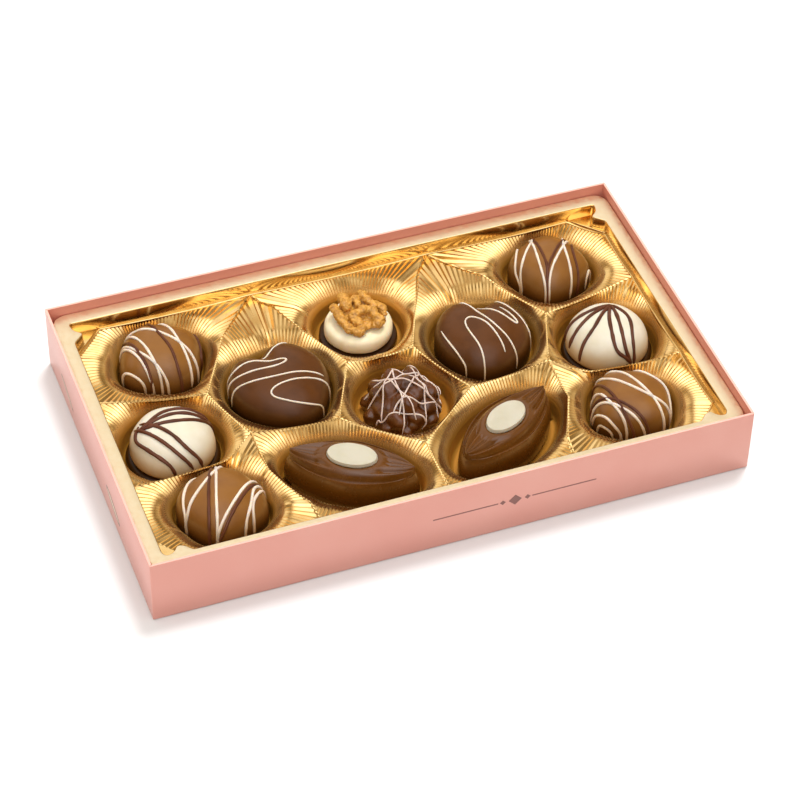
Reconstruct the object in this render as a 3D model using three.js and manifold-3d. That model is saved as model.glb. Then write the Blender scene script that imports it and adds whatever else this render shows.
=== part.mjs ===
// A box of chocolate pralines: an open card box, a gold tray with twelve pockets, and twelve pralines.
// Units are millimetres, +Z is up, and the origin is the middle of the box's underside.

import * as THREE from 'three';
import { mergeGeometries, mergeVertices } from 'three/addons/utils/BufferGeometryUtils.js';
import Module from 'manifold-3d';

const wasm = await Module();
wasm.setup();

// Box
const BOX_LENGTH = 200;
const BOX_WIDTH = 122;
const BOX_HEIGHT = 24;
const CARD = 0.8;
const GAP = 0.3;

// Tray: a flat rim, a recess, and a field of pockets that meet in sharp ridges
const FOIL = 0.45;
const RIM_TOP = 20.5;
const RIM_CORNER = 6;
const RIM_CORNER_STEPS = 5;
const RECESS_X = 94;
const RECESS_Y = 55;
const RECESS_DRAFT = 0.4;
const FIELD_TOP = 15.4;
const CREST_SAG = 0.7;
const SHELF_TOP = 17.4;
const CHAMFER_X = 10.5;
const CHAMFER_Y = 11;
const SHELF_STEP = 0.4;
const BACK_NOTCH = [[RECESS_X, 45.6], [90.2, 49.2], [92.9, 51.6], [93.6, RECESS_Y]];
const FRONT_NOTCH = [[RECESS_X, -53.4], [92.8, -RECESS_Y], [90.5, -54.2], [88.7, -51.7], [86.5, -52.6],
  [84.4, -RECESS_Y]];
const EDGE_STEP = 7.6;
const POCKET_FLOOR = 4.6;
const POCKET_WALL_TOP = 9.5;
const WALL_LEAN = 0.9;
const FLARE_REACH = 7;
const FLARE_CREST = 1.8;
const FLARE_FOOT = 1.5;
const FLARE_UPPER = { ofReach: 1, ofWidth: 0.6 };
const FLARE_LOWER = { ofReach: 0.3, ofWidth: 0.2 };
const POCKET_CLEARANCE = 1.8;
const CREST_WIDTH = 0.45;

// Pralines
const SEAT = POCKET_FLOOR + GAP;
const CUSHION = { radius: 13.1, height: 16.2, low: 0.3, power: 2.4, square: 2.8, turn: 24 };
const DOME = { foot: 15.4, footHeight: 2.7, radius: 13.8, height: 13, low: 0.12, power: 2.2 };
const HEART = { radius: 16.4, height: 15.2, low: 0.3, power: 2.3, notch: 0.25, tip: 0.15, turn: 16 };
const BOAT = { half: 22, slender: 0.5, pointed: 1.65, height: 13.4, turn: 31 };
const BOAT_PROFILE = [[0, 0], [0.96, 0], [1, 0.1], [0.95, 0.62], [0.86, 0.84], [0.8, 0.84], [0.71, 0.98],
  [0.62, 1], [0, 1]];
const BOAT_POCKET = 0.58;
const HEART_POCKET = 0.08;
const OVAL = { half: 8.3, slender: 0.6, thickness: 1 };
const ROUND = { foot: 13.2, footHeight: 2.4, footRoom: 0.9, radius: 11.5, height: 5.6 };
const NUT = { length: 10.2, width: 9.6, height: 6.8, belly: 0.4, turn: 20 };
const NUT_FURROW = { depth: 0.3, width: 0.16 };
const NUT_FOLDS = { depth: 0.09, around: 7, outwards: 6, twist: 5 };
const CLUSTER = { radius: 14.4, height: 15.4, low: 0.25, power: 2.2, rings: 7, room: 0.4 };
const LUMP = { depth: 1.5, width: 0.34, hollow: 0.8, swell: 1.6, twist: 2.4, wobble: 0.12 };
const LUMP_RINGS = [{ tilt: 0, count: 1 }, { tilt: 0.75, count: 5 }, { tilt: 1.25, count: 8 }];

// Hand-made pralines differ a little in size, and each has its threads of chocolate laid its own way
const SIZE = {
  cushion_back_left: 1.01, cushion_back_right: 0.97, cushion_front_left: 1.01, cushion_front_right: 0.98,
  heart_left: 1.02, heart_right: 0.98,
};
const THREADS = {
  cushion_back_left: { passes: 3, spread: 7.5, reach: 12, lean: -48, bow: 1.5 },
  cushion_back_right: { passes: 3, spread: 7.5, reach: 12, lean: 48, bow: -1.5 },
  cushion_front_left: { passes: 3, spread: 7.5, reach: 12, lean: 36, bow: 1.5 },
  cushion_front_right: { passes: 3, spread: 7.5, reach: 12, lean: -36, bow: -1.5 },
  white_dome_left: { passes: 3, spread: 6, reach: 12.6, lean: -35, bow: 1.5 },
  white_dome_right: { passes: 3, spread: 6, reach: 12.6, lean: 60, bow: 1.5 },
  heart_left: { passes: 3, spread: 8, reach: 13, lean: -24, bow: 2 },
  heart_right: { passes: 3, spread: 8, reach: 13, lean: -52, bow: 2 },
};
const DOME_SECTORS = 18;
const DOME_RINGS = 5;
const STEEPEST = 0.985;
const FOOT_INSET = 0.93;
const FOOT_RISE = 0.08;
const DISC_SECTORS = 20;
const DISC_EDGE = 0.5;
const DISC_EDGE_SHARE = 0.35;
const BOAT_SECTORS = 24;
const CLUSTER_SECTORS = 24;
const CLUSTER_FOOT = 0.2;
const DRIZZLE = { radius: 0.7, sides: 4, stepsAPass: 5, shorterAside: 0.45 };

// Middle of each praline and of its pocket
const PLACE = {
  cushion_back_left: [-67.7, 37.5],
  cushion_back_right: [70.1, 37.5],
  cushion_front_left: [-68.8, -33.1],
  cushion_front_right: [70.1, -33],
  dome_left: [-75.1, -0.3],
  dome_right: [75.6, -0.3],
  heart_left: [-34.8, 13.8],
  heart_right: [36.6, 13.8],
  boat_left: [-25.3, -31.4],
  boat_right: [26.9, -31.2],
  round: [-0.3, 33.6],
  cluster: [1.6, -4.8],
};

// Corners of the pockets' cells on the right half; the left half mirrors them
const CORNER = {
  wallBack: [RECESS_X, 21],
  wallFront: [RECESS_X, -18.8],
  backHeart: [59.2, 13.8],
  frontHeart: [51.2, -8],
  heartBend: [46, 38.5],
  backEdge: [31.5, RECESS_Y],
  roundBend: [26.2, 47.5],
  heartNear: [11.3, 13.3],
  clusterSide: [22.6, -11],
  domeBend: [62.4, -17.2],
  boatBend: [51, -25.5],
  boatFront: [43.2, -43.4],
  frontEdge: [42, -RECESS_Y],
  chamferBackSide: [RECESS_X, RECESS_Y - CHAMFER_Y],
  chamferBackEnd: [RECESS_X - CHAMFER_X, RECESS_Y],
  chamferFrontSide: [RECESS_X, CHAMFER_Y - RECESS_Y],
  chamferFrontEnd: [RECESS_X - CHAMFER_X, -RECESS_Y],
  clusterBack: [0, 12],
  clusterFront: [0, -30],
  boatsEdge: [0, -RECESS_Y],
};

const COLOUR = {
  card: 0xe0a195, gold: 0xc8963c, milk: 0x8a5a34, dark: 0x44281a,
  white: 0xeee6cf, marzipan: 0xe9e0c2, nut: 0xcf9445,
};

const radians = THREE.MathUtils.degToRad;
const mirror = ([x, y]) => [-x, y];

/** Outline functions give the radius, as a share of the largest, at an angle. */
const circle = () => 1;
const cushionOutline = (power) => (angle) =>
  (Math.abs(Math.cos(angle)) ** power + Math.abs(Math.sin(angle)) ** power) ** (-1 / power);
const boatOutline = ({ slender, pointed }) => (angle) =>
  (Math.abs(Math.cos(angle)) ** pointed + Math.abs(Math.sin(angle) / slender) ** pointed) ** (-1 / pointed);
const ovalOutline = (slender) => (angle) =>
  slender / Math.hypot(slender * Math.cos(angle), Math.sin(angle));
const heartOutline = ({ notch, tip }) => (angle) => {
  const swell = (middle, width) => {
    const turn = Math.atan2(Math.sin(angle - middle), Math.cos(angle - middle));
    return Math.exp(-((turn / width) ** 2));
  };
  return 1 - notch * swell(Math.PI / 2, 0.42) + tip * swell(-Math.PI / 2, 0.55);
};

/** Leave a geometry with positions only and its shared vertices merged. */
function welded(geometry) {
  geometry.deleteAttribute('normal');
  geometry.deleteAttribute('uv');
  return mergeVertices(geometry, 1e-4);
}

/** Move every vertex of a geometry by a function of its position. */
function reshape(geometry, move) {
  const position = geometry.getAttribute('position');
  const point = new THREE.Vector3();
  for (let i = 0; i < position.count; i += 1) {
    move(point.fromBufferAttribute(position, i), i);
    position.setXYZ(i, point.x, point.y, point.z);
  }
  return geometry;
}

/** A round-topped body: a lathe whose radius then follows an outline. */
function body(profile, outline, sectors) {
  const lathe = new THREE.LatheGeometry(profile.map(([r, z]) => new THREE.Vector2(r, z)), sectors);
  lathe.rotateX(Math.PI / 2);
  return welded(reshape(lathe, (point) => {
    const scale = outline(Math.atan2(point.y, point.x));
    point.x *= scale;
    point.y *= scale;
  }));
}

/** Height of a dome's skin at a share of its radius: upright to `low`, then rounded over. */
function domeHeight(share, height, low, power) {
  return height * (low + (1 - low) * (1 - Math.min(1, share) ** power) ** (1 / power));
}

/** Profile of a dome from its underside's middle to its top's middle. */
function domeProfile(radius, height, low, power, rings) {
  const points = [[0, 0], [radius * FOOT_INSET, 0], [radius, height * FOOT_RISE]];
  for (let ring = 0; ring <= rings; ring += 1) {
    const share = Math.cos((ring / rings) * Math.PI / 2) ** (2 / power);
    points.push([ring === rings ? 0 : radius * share, domeHeight(share, height, low, power)]);
  }
  return points;
}

/** The pocket cells: middle of the pocket, outline of its praline, and corners of the cell. */
function cells() {
  const c = CORNER;
  const cushion = { half: CUSHION.radius, outline: cushionOutline(CUSHION.square) };
  const half = [
    {
      name: 'cushion_back', turn: CUSHION.turn, ...cushion,
      ring: [c.backHeart, c.wallBack, c.chamferBackSide, c.chamferBackEnd, c.backEdge, c.heartBend],
    },
    {
      name: 'dome', turn: 0, half: DOME.foot, outline: circle,
      ring: [c.backHeart, c.frontHeart, c.domeBend, c.wallFront, c.wallBack],
    },
    {
      name: 'cushion_front', turn: -CUSHION.turn, ...cushion,
      ring: [c.frontHeart, c.boatBend, c.boatFront, c.frontEdge, c.chamferFrontEnd, c.chamferFrontSide,
        c.wallFront, c.domeBend],
    },
    {
      name: 'heart', turn: -HEART.turn, half: HEART.radius,
      outline: heartOutline({ ...HEART, notch: HEART_POCKET }),
      ring: [c.heartNear, c.clusterSide, c.frontHeart, c.backHeart, c.heartBend, c.backEdge, c.roundBend],
    },
    {
      name: 'boat', turn: BOAT.turn, half: BOAT.half, outline: ovalOutline(BOAT_POCKET),
      ring: [c.clusterFront, c.boatsEdge, c.frontEdge, c.boatFront, c.boatBend, c.frontHeart, c.clusterSide],
    },
  ];
  const right = half.map((cell) => ({ ...cell, place: PLACE[`${cell.name}_right`] }));
  const left = half.map((cell) => ({
    ...cell, place: PLACE[`${cell.name}_left`], turn: -cell.turn, ring: cell.ring.map(mirror),
  }));
  const middle = [
    {
      place: PLACE.round, turn: 0, half: ROUND.foot + ROUND.footRoom, outline: circle,
      ring: [c.heartNear, c.roundBend, c.backEdge, mirror(c.backEdge), mirror(c.roundBend),
        mirror(c.heartNear), c.clusterBack],
    },
    {
      place: PLACE.cluster, turn: 0, half: CLUSTER.radius + CLUSTER.room, outline: circle,
      ring: [c.clusterSide, c.heartNear, c.clusterBack, mirror(c.heartNear), mirror(c.clusterSide),
        c.clusterFront],
    },
  ];
  return [...right, ...left, ...middle];
}

/** Evenly spaced points along a path of corners, at the height of the crest there. */
function along(path) {
  const points = [];
  for (let side = 0; side + 1 < path.length; side += 1) {
    const [start, end] = [path[side], path[side + 1]];
    const steps = Math.max(1, Math.round(Math.hypot(end[0] - start[0], end[1] - start[1]) / EDGE_STEP));
    for (let step = 0; step < steps; step += 1) {
      const share = step / steps;
      points.push(new THREE.Vector3(
        THREE.MathUtils.lerp(start[0], end[0], share),
        THREE.MathUtils.lerp(start[1], end[1], share),
        FIELD_TOP - CREST_SAG * 4 * share * (1 - share),
      ));
    }
  }
  points.push(new THREE.Vector3(...path.at(-1), FIELD_TOP));
  return points;
}

/** A cell's border, clockwise seen from above and closed. */
function border(ring) {
  const points = along([...ring, ring[0]]);
  return THREE.ShapeUtils.area(points) > 0 ? points.reverse() : points;
}

/** Height of a pocket's flare at a share of its reach: steep at the wall, level at the crest. */
function flareHeight(share) {
  return (1 - (1 - share) ** FLARE_CREST) ** (1 / FLARE_FOOT);
}

/** Sheet of one pocket: from the cell's crest down the flared side and the wall to the floor. */
function pocketSheet(cell) {
  const edge = border(cell.ring);
  const [cx, cy] = cell.place;
  const rows = 4;
  return reshape(new THREE.PlaneGeometry(1, 1, edge.length - 1, rows), (point, index) => {
    const crest = edge[index % edge.length];
    const dx = crest.x - cx;
    const dy = crest.y - cy;
    const reach = Math.hypot(dx, dy);
    const room = cell.half * cell.outline(Math.atan2(dy, dx) - radians(cell.turn)) + POCKET_CLEARANCE;
    const wall = Math.min(room, reach - CREST_WIDTH);
    const width = reach - wall;
    const rise = (crest.z - POCKET_WALL_TOP) / flareHeight(Math.min(1, width / FLARE_REACH));
    const flared = (distance) => [
      wall + distance,
      POCKET_WALL_TOP + rise * flareHeight(distance / FLARE_REACH),
    ];
    const [radius, height] = [
      [reach, crest.z],
      flared(Math.min(FLARE_UPPER.ofReach * FLARE_REACH, FLARE_UPPER.ofWidth * width)),
      flared(Math.min(FLARE_LOWER.ofReach * FLARE_REACH, FLARE_LOWER.ofWidth * width)),
      [wall - WALL_LEAN, POCKET_FLOOR],
      [0, POCKET_FLOOR],
    ][Math.floor(index / edge.length)];
    point.set(cx + (dx / reach) * radius, cy + (dy / reach) * radius, height);
  });
}

/** Give an open sheet its thickness: the sheet, its copy pushed back along the normals, and the rim. */
function thicken(sheet, thickness) {
  const top = welded(sheet);
  const index = [];
  const source = top.getIndex().array;
  for (let i = 0; i < source.length; i += 3) {
    const [a, b, c] = [source[i], source[i + 1], source[i + 2]];
    if (a !== b && b !== c && c !== a) index.push(a, b, c);
  }
  top.setIndex(index);
  top.computeVertexNormals();
  const count = top.getAttribute('position').count;
  const front = top.getAttribute('position').array;
  const normal = top.getAttribute('normal').array;
  const positions = new Float32Array(count * 6);
  positions.set(front);
  for (let i = 0; i < count * 3; i += 1) positions[count * 3 + i] = front[i] - normal[i] * thickness;
  const faces = [...index];
  for (let i = 0; i < index.length; i += 3) {
    faces.push(index[i] + count, index[i + 2] + count, index[i + 1] + count);
  }
  const sides = new Map();
  for (let i = 0; i < index.length; i += 3) {
    for (let k = 0; k < 3; k += 1) {
      const from = index[i + k];
      const to = index[i + ((k + 1) % 3)];
      if (!sides.delete(`${to},${from}`)) sides.set(`${from},${to}`, [from, to]);
    }
  }
  for (const [from, to] of sides.values()) {
    faces.push(from, from + count, to + count, from, to + count, to);
  }
  const shell = new THREE.BufferGeometry();
  shell.setAttribute('position', new THREE.BufferAttribute(positions, 3));
  shell.setIndex(faces);
  return shell;
}

/** A strip of faces between two rows of points that run clockwise, seen from above. */
function strip(inner, outer) {
  return reshape(new THREE.PlaneGeometry(1, 1, inner.length - 1, 1), (point, index) => {
    point.copy((index < inner.length ? outer : inner)[index % inner.length]);
  });
}

/** The same points on the other side of the box, still clockwise. */
const flip = (points) => points.map((point) => new THREE.Vector3(-point.x, point.y, point.z)).reverse();

/** One right-hand corner of the recess: a chamfer, a step up to a shelf, and the shelf's notched outline. */
function shelf(sideEnd, frontEnd, outline) {
  const chamfer = along([sideEnd, frontEnd]);
  const inner = chamfer.map((point) => new THREE.Vector3(
    Math.min(RECESS_X, point.x + SHELF_STEP),
    Math.sign(point.y) * Math.min(RECESS_Y, Math.abs(point.y) + SHELF_STEP),
    SHELF_TOP,
  ));
  const notched = outline.map(([x, y]) => new THREE.Vector3(x, y, SHELF_TOP));
  return { chamfer, inner, notched };
}

/** A flat sheet inside one outline and outside another, at the height of the first outline. */
function flatSheet(outline, hole = null) {
  const shape = new THREE.Shape(outline.map(({ x, y }) => new THREE.Vector2(x, y)));
  if (hole) shape.holes.push(new THREE.Path(hole.map(({ x, y }) => new THREE.Vector2(x, y))));
  return new THREE.ShapeGeometry(shape).translate(0, 0, outline[0].z);
}

/** A rectangle with round corners, clockwise seen from above and closed. */
function roundedRectangle(halfX, halfY, radius, z) {
  const points = [];
  for (const [sx, sy, start] of [[1, 1, 90], [1, -1, 0], [-1, -1, -90], [-1, 1, -180]]) {
    for (let step = 0; step <= RIM_CORNER_STEPS; step += 1) {
      const angle = radians(start - (90 * step) / RIM_CORNER_STEPS);
      points.push(new THREE.Vector3(
        sx * (halfX - radius) + radius * Math.cos(angle),
        sy * (halfY - radius) + radius * Math.sin(angle),
        z,
      ));
    }
  }
  return [...points, points[0]];
}

/** The gold tray: pockets, corner shelves, recess wall, rim and skirt, as one formed sheet. */
function tray() {
  const c = CORNER;
  const back = shelf(c.chamferBackSide, c.chamferBackEnd, BACK_NOTCH);
  const front = shelf(c.chamferFrontSide, c.chamferFrontEnd, FRONT_NOTCH);
  const backTurn = [back.inner.at(-1), ...back.notched.toReversed(), back.inner[0]];
  const frontTurn = [front.inner[0], ...front.notched, front.inner.at(-1)];
  const backRun = along([mirror(c.chamferBackEnd), mirror(c.backEdge), c.backEdge, c.chamferBackEnd]);
  const sideRun = along([c.chamferBackSide, c.wallBack, c.wallFront, c.chamferFrontSide]);
  const frontRun = along([c.chamferFrontEnd, c.frontEdge, c.boatsEdge, mirror(c.frontEdge),
    mirror(c.chamferFrontEnd)]);
  const foot = [
    ...backRun, ...backTurn, ...sideRun, ...frontTurn,
    ...frontRun, ...flip(frontTurn), ...flip(sideRun), ...flip(backTurn), backRun[0],
  ];
  const brim = foot.map((point) => new THREE.Vector3(
    point.x * (1 + RECESS_DRAFT / RECESS_X),
    point.y * (1 + RECESS_DRAFT / RECESS_Y),
    RIM_TOP,
  ));
  const halfX = BOX_LENGTH / 2 - CARD - GAP;
  const halfY = BOX_WIDTH / 2 - CARD - GAP;
  const rimEdge = roundedRectangle(halfX, halfY, RIM_CORNER, RIM_TOP);
  const skirtEdge = rimEdge.map((point) => point.clone().setZ(CARD + GAP));
  const sheets = [
    ...cells().map(pocketSheet),
    strip(foot, brim),
    flatSheet(rimEdge, brim),
    strip(rimEdge, skirtEdge),
    strip(back.chamfer.toReversed(), back.inner.toReversed()),
    strip(front.chamfer, front.inner),
    strip(flip(back.chamfer.toReversed()), flip(back.inner.toReversed())),
    strip(flip(front.chamfer), flip(front.inner)),
  ];
  for (const { inner, notched } of [back, front]) {
    const outline = [...inner, ...notched.toReversed()];
    sheets.push(flatSheet(outline), flatSheet(flip(outline)));
  }
  return thicken(mergeGeometries(sheets.map((sheet) => sheet.toNonIndexed())), FOIL);
}

/** A solid that can be joined or cut. */
function solid(geometry) {
  const merged = geometry.getIndex() ? geometry : welded(geometry);
  return new wasm.Manifold(new wasm.Mesh({
    numProp: 3,
    vertProperties: merged.getAttribute('position').array,
    triVerts: Uint32Array.from(merged.getIndex().array),
  }));
}

/** The geometry of a joined or cut solid. */
function geometryOf(manifold) {
  const mesh = manifold.getMesh();
  const geometry = new THREE.BufferGeometry();
  geometry.setAttribute('position', new THREE.BufferAttribute(mesh.vertProperties, 3));
  geometry.setIndex(Array.from(mesh.triVerts));
  return geometry;
}

/** The card box: floor and four walls in one piece. */
function cardBox() {
  const outer = new THREE.BoxGeometry(BOX_LENGTH, BOX_WIDTH, BOX_HEIGHT).translate(0, 0, BOX_HEIGHT / 2);
  const inner = new THREE.BoxGeometry(BOX_LENGTH - 2 * CARD, BOX_WIDTH - 2 * CARD, BOX_HEIGHT)
    .translate(0, 0, BOX_HEIGHT / 2 + CARD);
  return geometryOf(solid(welded(outer)).subtract(solid(welded(inner))));
}

/** A thread of chocolate laid back and forth over a dome, half sunk in its skin. */
function drizzle(surface, { passes, spread, reach, lean, bow }) {
  const points = [];
  const turn = radians(lean);
  for (let pass = 0; pass < passes; pass += 1) {
    const across = spread * (2 * pass / (passes - 1) - 1);
    for (let step = 0; step <= DRIZZLE.stepsAPass; step += 1) {
      const share = (2 * step / DRIZZLE.stepsAPass - 1) * (pass % 2 ? -1 : 1);
      const u = reach * share * Math.sqrt(1 - DRIZZLE.shorterAside * (across / spread) ** 2);
      const v = across + bow * (1 - share * share);
      const x = u * Math.cos(turn) - v * Math.sin(turn);
      const y = u * Math.sin(turn) + v * Math.cos(turn);
      points.push(new THREE.Vector3(x, y, surface(x, y)));
    }
  }
  const section = new THREE.Shape();
  for (let side = 0; side < DRIZZLE.sides; side += 1) {
    const angle = (side / DRIZZLE.sides) * 2 * Math.PI;
    const [x, y] = [DRIZZLE.radius * Math.cos(angle), DRIZZLE.radius * Math.sin(angle)];
    if (side) section.lineTo(x, y); else section.moveTo(x, y);
  }
  return new THREE.ExtrudeGeometry(section, {
    steps: points.length - 1,
    bevelEnabled: false,
    extrudePath: new THREE.CatmullRomCurve3(points, false, 'centripetal'),
  });
}

/** A praline's rounded body with its threads of chocolate fused on. */
function drizzled({ radius, height, low, power }, outline, size, thread) {
  const wide = radius * size;
  const surface = (x, y) => {
    const share = Math.hypot(x, y) / (wide * outline(Math.atan2(y, x)));
    return domeHeight(Math.min(share, STEEPEST), height * size, low, power);
  };
  const dome = body(domeProfile(wide, height * size, low, power, DOME_RINGS), outline, DOME_SECTORS);
  return geometryOf(solid(dome).add(solid(welded(drizzle(surface, thread)))));
}

/** A disc with softened edges. */
function disc(radius, height, outline) {
  const soft = Math.min(DISC_EDGE, height * DISC_EDGE_SHARE);
  const profile = [[0, 0], [radius, 0], [radius, height - soft], [radius - soft, height], [0, height]];
  return body(profile, outline, DISC_SECTORS);
}

/** The marzipan praline's round body, wider below than on top. */
function marzipan() {
  const { radius, height } = ROUND;
  const profile = [[0, 0], [radius - 0.6, 0], [radius, 0.8], [radius, height * 0.57],
    [radius - 0.7, height * 0.82], [radius - 2.2, height], [0, height]];
  return body(profile, circle, DISC_SECTORS);
}

/** A moulded boat: two grooves and a ridge follow its outline to both ends, round a flat top. */
function boat() {
  const { half, height } = BOAT;
  return body(BOAT_PROFILE.map(([r, z]) => [r * half, z * height]), boatOutline(BOAT), BOAT_SECTORS);
}

/** A half walnut: two lobes with a furrow between them and folds across each. */
function walnut() {
  const { length, width, height, belly } = NUT;
  const nut = welded(new THREE.SphereGeometry(1, 24, 12).rotateX(Math.PI / 2));
  return reshape(nut, (point) => {
    const angle = Math.atan2(point.y, point.x);
    const out = Math.hypot(point.x, point.y);
    const furrow = NUT_FURROW.depth * Math.exp(-((point.y / NUT_FURROW.width) ** 2)) * Math.max(0, point.z);
    const fold = NUT_FOLDS.depth * Math.sin(NUT_FOLDS.around * angle + NUT_FOLDS.twist * out)
      * Math.sin(NUT_FOLDS.outwards * out + 1);
    const scale = 1 + fold - furrow;
    point.x *= scale * length;
    point.y *= scale * width;
    point.z = Math.max(0, point.z * scale) * height + Math.min(0, point.z) * belly;
  }).translate(0, 0, belly);
}

/** A cluster of nuts under chocolate: a dome pushed out by round lumps set in rings. */
function cluster() {
  const { radius, height, low, power, rings } = CLUSTER;
  const lumps = [];
  for (const { tilt, count } of LUMP_RINGS) {
    for (let i = 0; i < count; i += 1) {
      const turn = (i / count) * 2 * Math.PI + tilt * LUMP.twist;
      const lean = tilt + LUMP.wobble * Math.sin(5 * i + tilt);
      lumps.push(new THREE.Vector3(
        Math.sin(lean) * Math.cos(turn), Math.sin(lean) * Math.sin(turn), Math.cos(lean)));
    }
  }
  const dome = body(domeProfile(radius, height, low, power, rings), circle, CLUSTER_SECTORS);
  return reshape(dome, (point) => {
    const ray = new THREE.Vector3(point.x / radius, point.y / radius, point.z / height).normalize();
    const swell = Math.max(...lumps.map((middle) => Math.exp(-((ray.angleTo(middle) / LUMP.width) ** 2))));
    const share = Math.min(1, point.z / (CLUSTER_FOOT * height));
    const grow = 1 + (LUMP.depth / radius) * (LUMP.swell * swell - LUMP.hollow) * share;
    point.x *= grow;
    point.y *= grow;
    point.z *= grow;
  });
}

const parts = new THREE.Group();

/** Add one named piece, stood at a place and turned about the vertical. */
function add(name, geometry, { colour, metalness = 0, roughness = 0.4, place = [0, 0], z = 0, turn = 0 }) {
  const material = new THREE.MeshStandardMaterial({ color: colour, metalness, roughness });
  const mesh = new THREE.Mesh(geometry, material);
  mesh.name = name;
  mesh.position.set(place[0], place[1], z);
  mesh.rotation.z = radians(turn);
  parts.add(mesh);
}

add('card_box', cardBox(), { colour: COLOUR.card, roughness: 0.5 });
add('tray', tray(), { colour: COLOUR.gold, metalness: 1, roughness: 0.25 });

for (const side of ['left', 'right']) {
  const sign = side === 'right' ? 1 : -1;
  for (const row of ['back', 'front']) {
    const name = `cushion_${row}_${side}`;
    add(name, drizzled(CUSHION, cushionOutline(CUSHION.square), SIZE[name], THREADS[name]), {
      colour: COLOUR.milk, place: PLACE[name], z: SEAT, turn: (row === 'back' ? sign : -sign) * CUSHION.turn,
    });
  }
  const dome = `white_dome_${side}`;
  const domePlace = PLACE[`dome_${side}`];
  add(`dome_foot_${side}`, disc(DOME.foot, DOME.footHeight, circle),
    { colour: COLOUR.dark, place: domePlace, z: SEAT });
  add(dome, drizzled(DOME, circle, 1, THREADS[dome]),
    { colour: COLOUR.white, place: domePlace, z: SEAT + DOME.footHeight + GAP });
  const heart = `heart_${side}`;
  add(heart, drizzled(HEART, heartOutline(HEART), SIZE[heart], THREADS[heart]),
    { colour: COLOUR.dark, place: PLACE[heart], z: SEAT, turn: -sign * HEART.turn });
  const boatPlace = PLACE[`boat_${side}`];
  add(`boat_${side}`, boat(), { colour: COLOUR.milk, place: boatPlace, z: SEAT, turn: sign * BOAT.turn });
  add(`oval_${side}`, disc(OVAL.half, OVAL.thickness, ovalOutline(OVAL.slender)),
    { colour: COLOUR.white, place: boatPlace, z: SEAT + BOAT.height + GAP, turn: sign * BOAT.turn });
}

add('marzipan_foot', disc(ROUND.foot, ROUND.footHeight, circle),
  { colour: COLOUR.dark, place: PLACE.round, z: SEAT });
const marzipanBase = SEAT + ROUND.footHeight + GAP;
add('marzipan_body', marzipan(), { colour: COLOUR.marzipan, place: PLACE.round, z: marzipanBase });
add('walnut_half', walnut(),
  { colour: COLOUR.nut, place: PLACE.round, z: marzipanBase + ROUND.height + GAP, turn: NUT.turn });
add('nut_cluster', cluster(), { colour: COLOUR.dark, place: PLACE.cluster, z: SEAT });

export default parts;
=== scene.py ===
"""An open card box of twelve chocolate pralines in a gold foil tray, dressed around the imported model.

Lengths are in millimetres, and become metres when a piece is finished. A finish has its heights in metres,
as it reads the finished piece, and so have the lamps and the floor.
"""

import logging
import math
from collections.abc import Callable, Iterable, Sequence
from dataclasses import dataclass
from enum import Enum

import bmesh
import bpy
from mathutils import Matrix, Vector, noise
from mathutils.bvhtree import BVHTree


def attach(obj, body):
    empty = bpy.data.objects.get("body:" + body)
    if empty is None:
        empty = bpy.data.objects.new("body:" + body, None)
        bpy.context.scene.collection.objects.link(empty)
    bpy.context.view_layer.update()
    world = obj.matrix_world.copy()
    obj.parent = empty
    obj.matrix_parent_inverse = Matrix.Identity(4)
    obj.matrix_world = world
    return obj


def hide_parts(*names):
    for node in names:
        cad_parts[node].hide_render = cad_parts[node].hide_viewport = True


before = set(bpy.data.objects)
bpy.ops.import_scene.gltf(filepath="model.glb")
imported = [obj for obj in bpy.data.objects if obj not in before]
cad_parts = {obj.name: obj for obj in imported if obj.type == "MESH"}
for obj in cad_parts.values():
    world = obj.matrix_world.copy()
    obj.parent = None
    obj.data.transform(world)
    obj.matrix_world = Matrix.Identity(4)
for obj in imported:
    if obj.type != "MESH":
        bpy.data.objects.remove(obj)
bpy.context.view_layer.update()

LOG = logging.getLogger("pralines")
MM = 0.001
BODY = "root"
UNDERSIDE = 0.05  # points lower than this stay where they are, so that a praline stands flat
MERGED = 1e-4  # points nearer than this become one

Plan = tuple[float, float]
Outline = Callable[[float], float]


class Slot(str, Enum):
    """Kinds of material, by which a praline's skin finish is picked."""

    CARD = "card"
    FOIL = "gold_foil"
    MILK = "milk_chocolate"
    DARK = "dark_chocolate"
    WHITE = "white_chocolate"
    MARZIPAN = "marzipan"
    WALNUT = "walnut"


# Small helpers.


def smoothstep(low: float, high: float, value: float) -> float:
    """Ease from 0 at low to 1 at high."""
    share = min(1.0, max(0.0, (value - low) / (high - low)))
    return share * share * (3 - 2 * share)


def bell(value: float, middle: float, width: float) -> float:
    """A smooth swell of height 1 round a middle value."""
    return math.exp(-(((value - middle) / width) ** 2))


def heading(angle: float) -> Vector:
    """The plan direction at an angle in radians."""
    return Vector((math.cos(angle), math.sin(angle)))


def mirrored(point: Plan) -> Plan:
    """The same point on the box's left half."""
    return -point[0], point[1]


def linear(hex_colour: int) -> tuple[float, float, float, float]:
    """A screen colour such as 0xC8963C as the linear colour that a shader takes.

    Args:
        hex_colour: The screen colour.

    Returns:
        Red, green, blue and an alpha of 1.
    """
    channels = []
    for shift in (16, 8, 0):
        value = ((hex_colour >> shift) & 255) / 255
        channels.append(value / 12.92 if value <= 0.04045 else ((value + 0.055) / 1.055) ** 2.4)
    return channels[0], channels[1], channels[2], 1.0


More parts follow.
